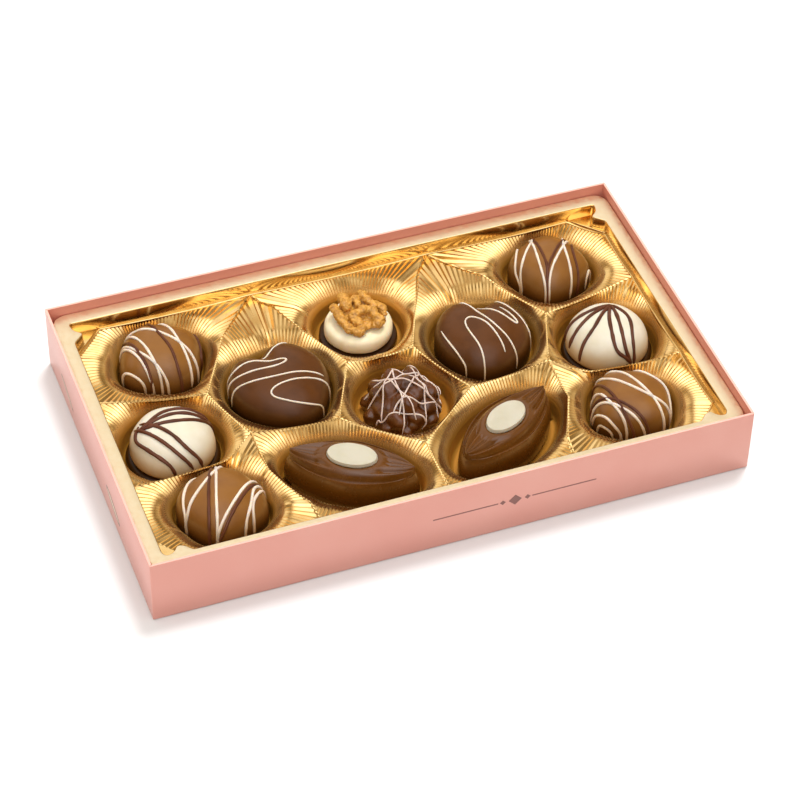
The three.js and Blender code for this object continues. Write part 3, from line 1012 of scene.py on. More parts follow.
    def build(self, palette: Palette) -> None:
        """Make the pocket's piece of the tray.

        Args:
            palette: The finishes.
        """
        columns = self.columns()
        sections = [self.section(column) for column in columns]
        count, rows = len(columns), len(sections[0])
        mesh = bmesh.new()
        bmesh.ops.create_grid(mesh, x_segments=count, y_segments=rows - 1, size=0.5)

        def cell(x: float, y: float) -> tuple[int, int]:
            """The column and row of a point of the flat grid."""
            return round((x + 0.5) * count) % count, round((y + 0.5) * (rows - 1))

        for edge in mesh.edges:
            (x0, y0, _), (x1, y1, _) = (vertex.co for vertex in edge.verts)
            index, row = cell(x0, min(y0, y1))
            edge.smooth = abs(x1 - x0) > TOUCHING or sections[index][row][2] < self.fold_from
        for vertex in mesh.verts:
            index, row = cell(vertex.co.x, vertex.co.y)
            column, points = columns[index], sections[index]
            distance, height, depth = points[row]
            before, after = points[max(0, row - 1)], points[min(rows - 1, row + 1)]
            slope = Vector((after[0] - before[0], after[1] - before[1])).normalized()
            pleat = noise.noise(Vector((index // 2 * PLEAT_STEP, row * ROW_STEP, self.half)))
            push = self.pleat_depth * depth * (1 - 2 * (index % 2)) * (1 + self.pleat_uneven * pleat)
            place = column.start + column.way * (distance - slope.y * push)
            vertex.co = (place.x, place.y, height + slope.x * push)
        bmesh.ops.remove_doubles(mesh, verts=mesh.verts, dist=MERGED)
        face_up(mesh)
        piece = finish_piece(f"pocket_{self.name}", mesh, [palette.foil], ["tray"], sharp=180)
        give_thickness(piece, self.foil)


def softened(points: Sequence[Vector], cut: float, segments: int = 3) -> list[Vector]:
    """Round the corners of a closed path.

    Args:
        points: The path's corners.
        cut: How far from each corner the rounding starts.
        segments: How many pieces each round corner has.

    Returns:
        The path with its corners rounded, straight runs left as they are.
    """
    result: list[Vector] = []
    count = len(points)
    for index, corner in enumerate(points):
        before, after = points[index - 1] - corner, points[(index + 1) % count] - corner
        if before.angle(after) > STRAIGHT:
            result.append(corner)
            continue
        start = corner + before.normalized() * min(cut, LONGEST_CUT * before.length)
        end = corner + after.normalized() * min(cut, LONGEST_CUT * after.length)
        for step in range(segments + 1):
            t = step / segments
            result.append(start * (1 - t) ** 2 + corner * 2 * t * (1 - t) + end * t * t)
    return result


@dataclass
class TrayRim:
    """The tray's flat rim, the wall down to the pockets, the corner shelves and the skirt."""

    half_x: float = 98.9
    half_y: float = 59.9
    corner: float = 6.0
    top: float = 20.5
    foot: float = 13.4
    skirt_foot: float = 1.1
    shelf_top: float = 16.0
    step: float = 0.4
    draft: float = 0.5
    foil: float = 0.35
    fold: float = 0.45
    notch_fold: float = 1.1
    shelf_fold: float = 0.3
    shelf_foil: float = 0.2
    shelf_inset: float = 0.3
    field_side: float = 1.888
    bead: float = 0.4
    bead_inset: float = 0.3
    bead_steps: int = 10
    bead_step: float = 1.5
    back_notch: tuple[Plan, ...] = ((94, 45.6), (90.2, 49.2), (92.9, 51.6), (93.6, 55))
    front_notch: tuple[Plan, ...] = (
        (94, -53.4), (92.8, -55), (90.5, -54.2), (88.7, -51.7), (86.5, -52.6), (84.4, -55))

    def brim(self) -> list[Vector]:
        """The recess's outline at the rim, with its notched corners.

        Returns:
            The outline's points, all round.
        """
        back = [CORNERS["shelf_back_end"], *reversed(self.back_notch), CORNERS["shelf_back_side"]]
        front = [CORNERS["shelf_front_side"], *self.front_notch, CORNERS["shelf_front_end"]]
        right = [Vector(point) for point in back + front]
        left = [Vector(mirrored(tuple(point))) for point in reversed(right)]
        return softened(right + left, self.notch_fold)

    def outer(self) -> list[Vector]:
        """The rim's outer outline."""
        x, y, r = self.half_x, self.half_y, self.corner
        return softened([Vector((x, y)), Vector((x, -y)), Vector((-x, -y)), Vector((-x, y))], r, 8)

    def loop(self, mesh: bmesh.types.BMesh, points: Iterable[Vector], z: float) -> list[bmesh.types.BMEdge]:
        """Add a closed loop of edges at a height."""
        verts = [mesh.verts.new((point.x, point.y, z)) for point in points]
        return [mesh.edges.new((a, b)) for a, b in zip(verts, verts[1:] + verts[:1])]

    def drop(self, mesh: bmesh.types.BMesh, edges: list[bmesh.types.BMEdge], z: float, lean: float) -> None:
        """Extrude a loop down to a height.

        Args:
            mesh: The mesh to change.
            edges: The loop's edges.
            z: The height.
            lean: How far the new wall leans inwards.
        """
        points = extruded(mesh, edges)[0]
        draw_in(points, lean)
        for point in points:
            point.co.z = z

    def rim(self, palette: Palette) -> None:
        """The flat rim with the walls that hang from it.

        Args:
            palette: The finishes.
        """
        mesh = bmesh.new()
        inside = self.loop(mesh, self.brim(), self.top)
        outside = self.loop(mesh, self.outer(), self.top)
        bmesh.ops.triangle_fill(mesh, use_beauty=True, use_dissolve=False, edges=inside + outside)
        face_up(mesh)
        flat = list(mesh.faces)
        self.drop(mesh, inside, self.foot, self.draft)
        self.drop(mesh, outside, self.skirt_foot, 0)
        for face in mesh.faces:
            face.material_index = 1
        for face in flat:
            face.material_index = 0
        rounded(mesh, inside + outside, self.fold)
        piece = finish_piece("tray_rim", mesh, [palette.rim, palette.foil], ["tray"])
        give_thickness(piece, self.foil)

    def shelves(self, palette: Palette) -> None:
        """The four small flat shelves in the recess's corners.

        Args:
            palette: The finishes.
        """
        mesh = bmesh.new()
        (side, end_y), (end_x, back_wall) = CORNERS["shelf_back_side"], CORNERS["shelf_back_end"]
        end_x, end_y = end_x + self.shelf_inset, end_y + self.shelf_inset
        back = [(side, end_y), (end_x, back_wall), *reversed(self.back_notch)]
        front = [(end_x, -back_wall), (side, -end_y), *self.front_notch]
        for outline in (back, front, [mirrored(p) for p in reversed(back)],
                        [mirrored(p) for p in reversed(front)]):
            edges = self.loop(mesh, [Vector(point) for point in outline], self.shelf_top)
            bmesh.ops.triangle_fill(mesh, use_beauty=True, use_dissolve=True, edges=edges)
        bmesh.ops.recalc_face_normals(mesh, faces=mesh.faces)
        bmesh.ops.reverse_faces(mesh, faces=[face for face in mesh.faces if face.normal.z < 0])
        border = [edge for edge in mesh.edges if edge.is_boundary]
        points = extruded(mesh, border)[0]
        draw_in((point for point in points
                 if abs(point.co.x) / RECESS.x + abs(point.co.y) / RECESS.y < self.field_side), self.step)
        for point in points:
            point.co.z = self.foot
        rounded(mesh, border, self.shelf_fold)
        piece = finish_piece("tray_shelves", mesh, [palette.foil], ["tray"])
        give_thickness(piece, self.shelf_foil)

    def beads(self, palette: Palette) -> None:
        """The thin smooth bead where the field meets the recess's walls.

        Args:
            palette: The finishes.
        """
        runs = (("shelf_back_side", "wall_back", "wall_front", "shelf_front_side"),
                ("shelf_front_end", "front_edge", "boats_edge"),
                ("shelf_back_side", "shelf_back_end"), ("shelf_front_side", "shelf_front_end"),
                ("shelf_back_end", "back_edge", "-back_edge", "-shelf_back_end"))
        paths = []
        for run in runs:
            corners = [mirrored(CORNERS[name[1:]]) if name[0] == "-" else CORNERS[name] for name in run]
            points = []
            for start, end in zip(corners, corners[1:]):
                for step in range(self.bead_steps):
                    share = step / self.bead_steps
                    plan = Vector(start).lerp(Vector(end), share)
                    points.append(Vector((plan.x, plan.y, ridge(share))))
            points.append(Vector((*corners[-1], FIELD_TOP)))
            x, y = RECESS.x - self.bead_inset, RECESS.y - self.bead_inset
            inset = [Vector((max(-x, min(x, p.x)), max(-y, min(y, p.y)), p.z)) for p in points]
            paths.append(inset)
            if run[-1][0] != "-":
                paths.append([Vector((-p.x, p.y, p.z)) for p in inset])
        mesh = rods([[(point, self.bead) for point in flowing(path, self.bead_step)] for path in paths], 3)
        finish_piece("tray_beads", mesh, [palette.foil], ["tray"], sharp=180)

    def build(self, palette: Palette) -> None:
        """Make the rim, the shelves and the beads.

        Args:
            palette: The finishes.
        """
        self.rim(palette)
        self.shelves(palette)
        self.beads(palette)


PLACES: dict[str, Plan] = {
    "cushion_back_left": (-67.7, 37.5), "cushion_back_right": (70.1, 37.5),
    "cushion_front_left": (-68.8, -33.1), "cushion_front_right": (70.1, -33.0),
    "dome_left": (-75.1, -0.3), "dome_right": (75.6, -0.3),
    "heart_left": (-34.8, 13.8), "heart_right": (36.6, 13.8),
    "boat_left": (-25.3, -31.4), "boat_right": (26.9, -31.2),
    "round": (-0.3, 33.6), "cluster": (1.6, -4.8),
}
CUSHION_OUTLINE = Superellipse(2.8)
BOAT_OUTLINE = Superellipse(1.65, 0.5)


def pockets() -> list[Pocket]:
    """The twelve pockets of the tray.

    Returns:
        The pockets, those of a pair one after the other.
    """
    sided = (
        ("cushion_back", 13.1, CUSHION_OUTLINE, 24,
         ("back_heart", "wall_back", "shelf_back_side", "shelf_back_end", "back_edge", "heart_bend")),
        ("dome", 15.4, circle, 0, ("back_heart", "front_heart", "dome_bend", "wall_front", "wall_back")),
        ("cushion_front", 13.1, CUSHION_OUTLINE, -24,
         ("front_heart", "boat_bend", "boat_front", "front_edge", "shelf_front_end", "shelf_front_side",
          "wall_front", "dome_bend")),
        ("heart", 16.4, HeartShape(0.08, 0.15), -16,
         ("heart_near", "cluster_side", "front_heart", "back_heart", "heart_bend", "back_edge",
          "round_bend")),
        ("boat", 22.0, Superellipse(2, 0.58), 31,
         ("cluster_front", "boats_edge", "front_edge", "boat_front", "boat_bend", "front_heart",
          "cluster_side")),
    )
    result = []
    for name, half, outline, turn, names in sided:
        ring = tuple(CORNERS[corner] for corner in names)
        result.append(Pocket(f"{name}_right", PLACES[f"{name}_right"], half, outline, turn, ring))
        result.append(Pocket(f"{name}_left", PLACES[f"{name}_left"], half, outline, -turn,
                             tuple(mirrored(point) for point in ring)))
    c = CORNERS
    result.append(Pocket("round", PLACES["round"], 14.1, circle, 0, (
        c["heart_near"], c["round_bend"], c["back_edge"], mirrored(c["back_edge"]),
        mirrored(c["round_bend"]), mirrored(c["heart_near"]), c["cluster_back"])))
    result.append(Pocket("cluster", PLACES["cluster"], 14.8, circle, 0, (
        c["cluster_side"], c["heart_near"], c["cluster_back"], mirrored(c["heart_near"]),
        mirrored(c["cluster_side"]), c["cluster_front"])))
    return result


# The pralines.

SEAT = 4.9


@dataclass(frozen=True)
class Dome:
    """A body with upright sides and a rounded top."""

    radius: float
    height: float
    low: float
    power: float
    rings: int = 26

    def rise(self, share: float) -> float:
        """The skin's height at a share of the radius."""
        rest = max(0.0, 1 - min(1.0, share) ** self.power)
        return self.height * (self.low + (1 - self.low) * rest ** (1 / self.power))

    def profile(self) -> list[Plan]:
        """Radius and height of the skin, from the middle below to the middle on top.

        Returns:
            The profile's points.
        """
        r, h = self.radius, self.height
        heel = 0.09
        points = [(0, 0), (0.5 * r, 0), (0.9 * r, 0), (0.955 * r, 0.012 * h), (0.985 * r, 0.04 * h),
                  (r, heel * h)]
        steps = max(1, round((self.low - heel) * 20))
        points += [(r, h * (heel + (self.low - heel) * step / steps)) for step in range(1, steps)]
        for ring in range(self.rings + 1):
            angle = ring / self.rings * math.pi / 2
            share = math.cos(angle) ** (2 / self.power) if ring < self.rings else 0.0
            points.append((r * share, self.rise(share)))
        return points


@dataclass(frozen=True)
class Stroke:
    """One thread of chocolate: its path in plan on the praline, and its width."""

    path: tuple[Plan, ...]
    width: float


@dataclass
class Threads:
    """Threads of chocolate that lie on a body, run down its sides and, where taut, span its hollows."""

    body: bmesh.types.BMesh
    reach: Callable[[float], float]
    taut: bool = False
    brink: float = 0.975
    near_edge: float = 0.9
    plan_step: float = 0.7
    point_step: float = 0.5
    fall_step: float = 1.2
    fall_end: tuple[float, float] = (0.06, 0.16)
    easings: int = 36
    taut_easings: int = 60
    raised: float = 0.06
    beading: float = 0.22
    beading_scale: float = 0.4
    tip_width: float = 0.45
    tip_points: int = 4

    def __post_init__(self) -> None:
        """Keep the body's skin as it is in its own frame."""
        self.skin = BVHTree.FromBMesh(self.body)
        self.top = max(vertex.co.z for vertex in self.body.verts)

    def on_skin(self, x: float, y: float) -> Vector:
        """The skin's point above a plan point, or the nearest one beyond its outline.

        Args:
            x: How far right the plan point is.
            y: How far back it is.

        Returns:
            The skin's point.
        """
        share = math.hypot(x, y) / self.reach(math.atan2(y, x))
        if share > self.brink:
            x, y = x * self.brink / share, y * self.brink / share
        hit = self.skin.ray_cast(Vector((x, y, self.top + 10)), Vector((0, 0, -1)))[0]
        return hit if hit else self.skin.find_nearest(Vector((x, y, 0.4 * self.top)))[0]

    def down(self, end: Vector, last: float) -> list[Vector]:
        """Points down the side from a thread's end to a height.

        Args:
            end: The thread's end.
            last: The height.

        Returns:
            The points, from the top down.
        """
        angle = math.atan2(end.y, end.x)
        radius = self.reach(angle)
        points = []
        height = end.z - self.fall_step
        while height > last:
            guess = Vector((*heading(angle) * radius, height))
            points.append(self.skin.find_nearest(guess)[0])
            height -= self.fall_step
        return points

    def route(self, stroke: Stroke, seed: int) -> list[Vector]:
        """A thread's middle line on the skin, from end to end.

        Args:
            stroke: The thread.
            seed: Its number, which sets how far its ends run down.

        Returns:
            The line's points.
        """
        plan = flowing([Vector((x, y, 0)) for x, y in stroke.path], self.plan_step)
        points = [self.on_skin(point.x, point.y) for point in plan]
        for end in (0, -1):
            x, y = stroke.path[end]
            if math.hypot(x, y) / self.reach(math.atan2(y, x)) > self.near_edge:
                lowest, spread = self.fall_end
                low = self.top * (lowest + spread * ((seed * 7 + 3 * end) % 5) / 5)
                fall = self.down(points[end], low)
                points = list(reversed(fall)) + points if end == 0 else points + fall
        points = flowing(points, self.point_step)
        for _ in range(self.taut_easings if self.taut else self.easings):
            eased = [(before + 2 * here + after) / 4
                     for before, here, after in zip(points, points[1:], points[2:])]
            points = [points[0]] + [self.pulled(point) for point in eased] + [points[-1]]
        return points

    def pulled(self, point: Vector) -> Vector:
        """An eased point, put back on the skin unless the thread hangs free above it.

        Args:
            point: The eased point.

        Returns:
            The point where the thread passes.
        """
        hit, normal = self.skin.find_nearest(point)[:2]
        above = (point - hit).dot(normal)
        return point if self.taut and above > 0 else hit

    def piece(self, name: str, strokes: Sequence[Stroke], material: bpy.types.Material, slot: Slot,
              node: str, place: Plan, base: float, turn: float) -> bpy.types.Object:
        """Make one piece of all threads of a colour.

        Args:
            name: The piece's name.
            strokes: The threads.
            material: Their finish.
            slot: The threads' kind of material; not used.
            node: The CAD node that they are part of.
            place: The praline's middle.
            base: The height of its underside.
            turn: How far it is turned, in degrees.

        Returns:
            The new object.
        """
        paths = []
        for seed, stroke in enumerate(strokes):
            route = self.route(stroke, seed)
            path = []
            for index, position in enumerate(route):
                normal = self.skin.find_nearest(position)[1]
                inwards = min(index, len(route) - 1 - index) / self.tip_points
                spot = position * self.beading_scale + Vector((seed * 3.1, 0, 0))
                swell = 1 + self.beading * noise.noise(spot)
                width = stroke.width * swell * min(1.0, self.tip_width + (1 - self.tip_width) * inwards)
                path.append((position + normal * self.raised * stroke.width, width / 2))
            paths.append(path)
        mesh = rods(paths)
        settle(mesh, place, base, turn)
        return finish_piece(name, mesh, [material], [node], sharp=180)


@dataclass
class ThreadedPraline:
    """A rounded praline with threads of one or two chocolates over it."""

    name: str
    turn: float
    dome: Dome
    outline: Outline
    seed: float
    slot: Slot
    light: tuple[Stroke, ...] = ()
    dark: tuple[Stroke, ...] = ()
    base: float = SEAT
    unevenness: float = 0.35
    swell: float = 9.0
    crease: float = 0.0
    crease_width: float = 3.6
    crease_behind: tuple[float, float] = (-0.15, 0.75)
    crease_above: tuple[float, float] = (0.35, 0.9)
    sectors: int = 96

    def build(self, palette: Palette) -> None:
        """Make the praline and its threads.

        Args:
            palette: The finishes.
        """
        mesh = spun(self.dome.profile(), self.sectors, self.outline)
        for vertex in mesh.verts:
            behind = smoothstep(*self.crease_behind, vertex.co.y / self.dome.radius)
            high = smoothstep(*self.crease_above, vertex.co.z / self.dome.height)
            vertex.co.z -= self.crease * behind * high * bell(vertex.co.x, 0, self.crease_width)
        roughen(mesh, self.unevenness, self.swell, self.seed)
        threads = Threads(mesh, lambda angle: self.dome.radius * self.outline(angle))
        skin = {Slot.MILK: palette.milk, Slot.DARK: palette.dark, Slot.WHITE: palette.white}[self.slot]
        place = PLACES[self.name.removeprefix("white_")]
        settle(mesh, place, self.base, self.turn)
        finish_piece(f"{self.name}_body", mesh, [skin], [self.name])
        for colour, passes, finish, slot in (
                ("white", self.light, palette.white_thread, Slot.WHITE),
                ("dark", self.dark, palette.dark_thread, Slot.DARK)):
            if passes:
                threads.piece(f"{self.name}_{colour}_threads", passes, finish, slot, self.name, place,
                              self.base, self.turn)


def strokes(width: float, *paths: tuple[Plan, ...]) -> tuple[Stroke, ...]:
    """Threads of one width."""
    return tuple(Stroke(path, width) for path in paths)


def threaded_pralines() -> list[ThreadedPraline]:
    """The cushions, white domes and hearts, each with its own threads.

    Returns:
        The pralines.
    """

    def cushion(corner: str, turn: float, size: float, seed: float, light: tuple[Stroke, ...],
                dark: tuple[Stroke, ...]) -> ThreadedPraline:
        """A milk chocolate cushion, at its own size."""
        dome = Dome(13.1 * size, 16.2 * size, 0.3, 2.4)
        return ThreadedPraline(f"cushion_{corner}", turn, dome, CUSHION_OUTLINE, seed, Slot.MILK, light, dark)

    def white_dome(side: str, seed: float, dark: tuple[Stroke, ...]) -> ThreadedPraline:
        """A white dome, on top of its dark foot."""
        return ThreadedPraline(f"white_dome_{side}", 0, Dome(13.8, 13.0, 0.12, 2.2), circle, seed, Slot.WHITE,
                               dark=dark, base=7.9, unevenness=0.25)

    def heart(side: str, turn: float, size: float, seed: float, light: tuple[Stroke, ...]) -> ThreadedPraline:
        """A dark heart, at its own size."""
        return ThreadedPraline(f"heart_{side}", turn, Dome(16.4 * size, 15.2 * size, 0.36, 2.6), HeartShape(),
                               seed, Slot.DARK, light, unevenness=0.3, crease=2.6)

    return [
        cushion(
            "back_left", -24, 1.01, 1.3,
            light=strokes(
                0.95,
                ((-11.5, 5.5), (-6.5, 5.6), (-0.8, 3.6), (6.1, 0.2), (10.2, -2.2), (12.7, -5.0)),
                ((-3.5, 12.8), (2.0, 7.0), (6.1, 0.6), (8.8, -3.6), (10.8, -7.3), (11.3, -9.0)),
                ((-12.8, 6.0), (-9.0, 2.4), (-5.1, -2.1), (-1.2, -7.9), (0.9, -10.5), (2.3, -13.2)),
                ((-12.9, 1.5), (-7.4, -4.3), (-2.6, -7.5), (1.4, -10.4), (4.0, -12.4), (4.3, -13.0)),
                ((-12.7, -0.3), (-10.0, -2.7), (-5.1, -8.2), (-2.2, -11.8), (-0.5, -13.2)),
                ((-11.2, -9.2), (-8.7, -10.6), (-5.5, -12.2), (-3.3, -13.1)),
            ),
            dark=strokes(
                1.05,
                ((-7.0, 12.4), (-2.5, 5.2), (3.5, -2.4), (6.7, -8.7), (8.5, -11.6)),
                ((-12.9, 4.0), (-11.2, 1.6), (-6.7, -4.4), (-3.2, -9.4), (-1.0, -13.0)),
                ((9.0, 10.5), (12.2, 5.4), (12.7, 4.7), (13.2, 0.7)),
            )),
        cushion(
            "back_right", 24, 0.97, 4.1,
            light=strokes(
                0.9,
                ((3.5, 12.3), (0.0, 8.8), (-7.1, -2.3), (-9.6, -7.2), (-11.0, -9.3)),
                ((12.5, 3.0), (5.6, -1.0), (-2.8, -4.7), (-8.0, -7.6), (-10.3, -10.2)),
                ((5.0, 12.0), (-0.6, 8.2), (-7.8, 4.6), (-11.8, 2.1), (-13.2, 0.2)),
                ((11.5, 5.2), (5.3, -1.3), (1.6, -7.4), (-1.5, -11.9), (-2.7, -13.1)),
                ((-2.0, 12.6), (-9.4, 6.6), (-12.1, 4.1), (-13.1, 0.8)),
                ((8.7, -10.0), (6.0, -12.5), (5.5, -12.8)),
            ),
            dark=strokes(
                1.0,
                ((4.2, 12.2), (0.5, 7.4), (-5.2, -3.7), (-8.5, -7.1), (-10.6, -9.8)),
                ((12.4, 4.2), (6.8, 1.2), (-4.5, -4.0), (-8.7, -6.9)),
                ((12.2, 1.2), (6.6, -4.0), (3.0, -10.2), (1.0, -13.1)),
            )),
        cushion(
            "front_left", 24, 1.01, 7.7,
            light=strokes(
                1.0,
                ((8.0, 12.0), (4.2, 7.2), (-3.9, -2.1), (-8.9, -8.2), (-10.6, -9.8)),
                ((10.0, 10.4), (3.5, 7.2), (-5.9, 3.9), (-10.4, 3.1), (-12.5, 1.6)),
                ((2.0, 13.0), (-5.0, 10.0), (-10.7, 5.8), (-13.1, 1.4)),
                ((13.2, -2.0), (8.9, -3.2), (-1.4, -7.0), (-7.6, -9.0), (-10.2, -9.6)),
                ((12.4, -4.6), (6.9, -6.2), (4.4, -9.3), (-0.4, -11.9), (-2.2, -13.1)),
                ((12.6, -5.6), (8.7, -7.5), (4.4, -9.3), (2.3, -12.0), (1.4, -13.2)),
            ),
            dark=strokes(
                1.05,
                ((7.0, 12.4), (-0.9, 4.7), (-11.6, -7.5)),
                ((13.0, -3.2), (7.6, -5.0), (-8.7, -10.8), (-10.4, -10.2)),
            )),
        cushion(
            "front_right", -24, 0.98, 9.2,
            light=strokes(
                0.95,
                ((-12.0, 8.0), (-8.7, 4.6), (-1.7, 0.2), (5.5, -3.2), (11.3, -4.4)),
                ((-9.0, 10.4), (-2.4, 5.7), (1.9, 1.3), (6.2, -3.1), (9.3, -7.2), (11.0, -9.5)),
                ((-12.4, 0.0), (-10.9, -0.4), (-7.4, -5.9), (-2.9, -10.6), (-1.0, -12.8)),
                ((-12.4, -5.1), (-9.7, -5.5), (-6.2, -7.1), (-0.2, -9.9), (3.4, -11.8), (5.1, -12.7)),
                ((-12.3, -6.8), (-9.9, -8.5), (-5.8, -11.5), (-2.8, -13.1)),
                ((-10.5, -9.4), (-7.8, -11.7), (-5.6, -12.7)),
                ((-1.0, 12.6), (5.5, 6.5), (10.0, 5.3), (12.1, 1.2), (12.8, -3.6)),
            ),
            dark=strokes(
                1.0,
                ((-12.6, 6.0), (-10.9, 3.7), (-5.1, -5.7), (-1.3, -11.0), (1.4, -12.9)),
                ((-12.5, -3.6), (-8.0, -4.6), (-2.0, -7.4), (3.5, -10.4), (6.5, -12.6)),
            )),
        white_dome(
            "left", 2.4,
            dark=strokes(
                1.3,
                ((-9.0, 5.0), (-6.3, 1.8), (-1.8, -4.3), (2.0, -10.2), (6.1, -12.3)),
                ((-11.0, 4.5), (-9.1, 1.0), (-4.8, -6.1), (-0.7, -11.3), (2.8, -13.4)),
                ((-9.6, 4.4), (-11.2, 2.2), (-12.2, -0.2), (-8.7, -7.2), (-5.3, -11.0), (-2.9, -13.3)),
                ((-9.0, 1.6), (-4.3, 0.5), (2.8, -0.3), (8.0, -0.4), (11.4, 0.0), (13.4, 1.6)),
                ((-10.6, 2.4), (-5.6, 2.5), (0.5, 3.6), (5.0, 3.1), (10.2, 1.6), (13.0, 1.4)),
                ((-9.8, 1.8), (-7.2, 2.8), (-1.1, 5.9), (4.7, 6.0), (10.0, 4.4), (12.9, 3.4)),
            )),
        white_dome(
            "right", 5.6,
            dark=strokes(
                1.3,
                ((4.6, 5.4), (2.9, 5.8), (-6.1, 5.5), (-12.0, 5.5), (-13.2, 4.4)),
                ((4.0, 6.0), (2.9, 5.8), (-1.5, 4.4), (-6.0, 2.7), (-12.4, 0.0), (-13.8, -0.6)),
                ((4.8, 5.6), (2.9, 5.4), (-1.6, 2.0), (-5.5, -2.1), (-10.7, -4.8), (-12.4, -6.2)),
                ((3.2, 5.8), (2.2, 4.4), (-0.4, -1.2), (-1.5, -6.2), (-1.8, -11.9), (3.0, -13.4)),
                ((2.6, 6.0), (3.6, 4.5), (2.6, -1.4), (1.7, -7.0), (1.3, -12.3), (3.0, -13.4)),
                ((3.4, 6.2), (4.8, 4.4), (6.8, -1.6), (5.8, -5.6), (4.7, -9.2), (4.1, -13.0)),
            )),
        heart(
            "left", 16, 1.02, 3.3,
            light=strokes(
                0.62,
                ((-0.5, 8.5), (4.7, 9.4), (9.0, 10.6), (12.5, 11.0)),
                ((-12.5, 8.6), (-8.0, 8.5), (-3.4, 6.2), (0.8, 3.6), (4.7, 1.3), (4.7, 0.0), (1.4, 0.2),
                 (-2.5, 1.0), (-10.8, 4.2), (-14.1, 6.2)),
                ((-15.1, 2.5), (-10.9, -0.4), (-3.9, -3.3), (2.2, -5.4), (8.1, -7.7), (11.4, -9.4)),
                ((10.9, -11.5), (7.8, -10.4), (4.1, -9.2), (-2.1, -7.3), (-7.8, -6.9), (-9.2, -8.0),
                 (-8.4, -9.8), (-3.1, -15.2), (2.5, -17.9), (5.3, -17.3)),
            )),
        heart(
            "right", -16, 0.98, 6.9,
            light=strokes(
                0.62,
                ((-14.0, -2.0), (-12.3, -6.8), (-8.3, -13.7), (-6.7, -16.2)),
                ((-7.0, 11.0), (-2.4, 6.1), (2.0, -1.0), (6.6, -7.1), (10.1, -12.7)),
                ((6.1, -13.4), (5.0, -9.9), (1.8, -3.2), (-1.0, 0.2), (-4.1, 1.8), (-6.5, 0.8), (-5.6, -4.3),
                 (-2.0, -12.2), (-0.8, -17.9)),
                ((-1.0, 10.0), (2.9, 5.1), (7.4, 1.4), (11.4, -2.4), (11.8, -0.7), (7.9, 4.2), (6.0, 5.8)),
                ((5.0, 11.5), (10.2, 5.6), (13.9, 0.8), (15.4, -2.7)),
            )),
    ]


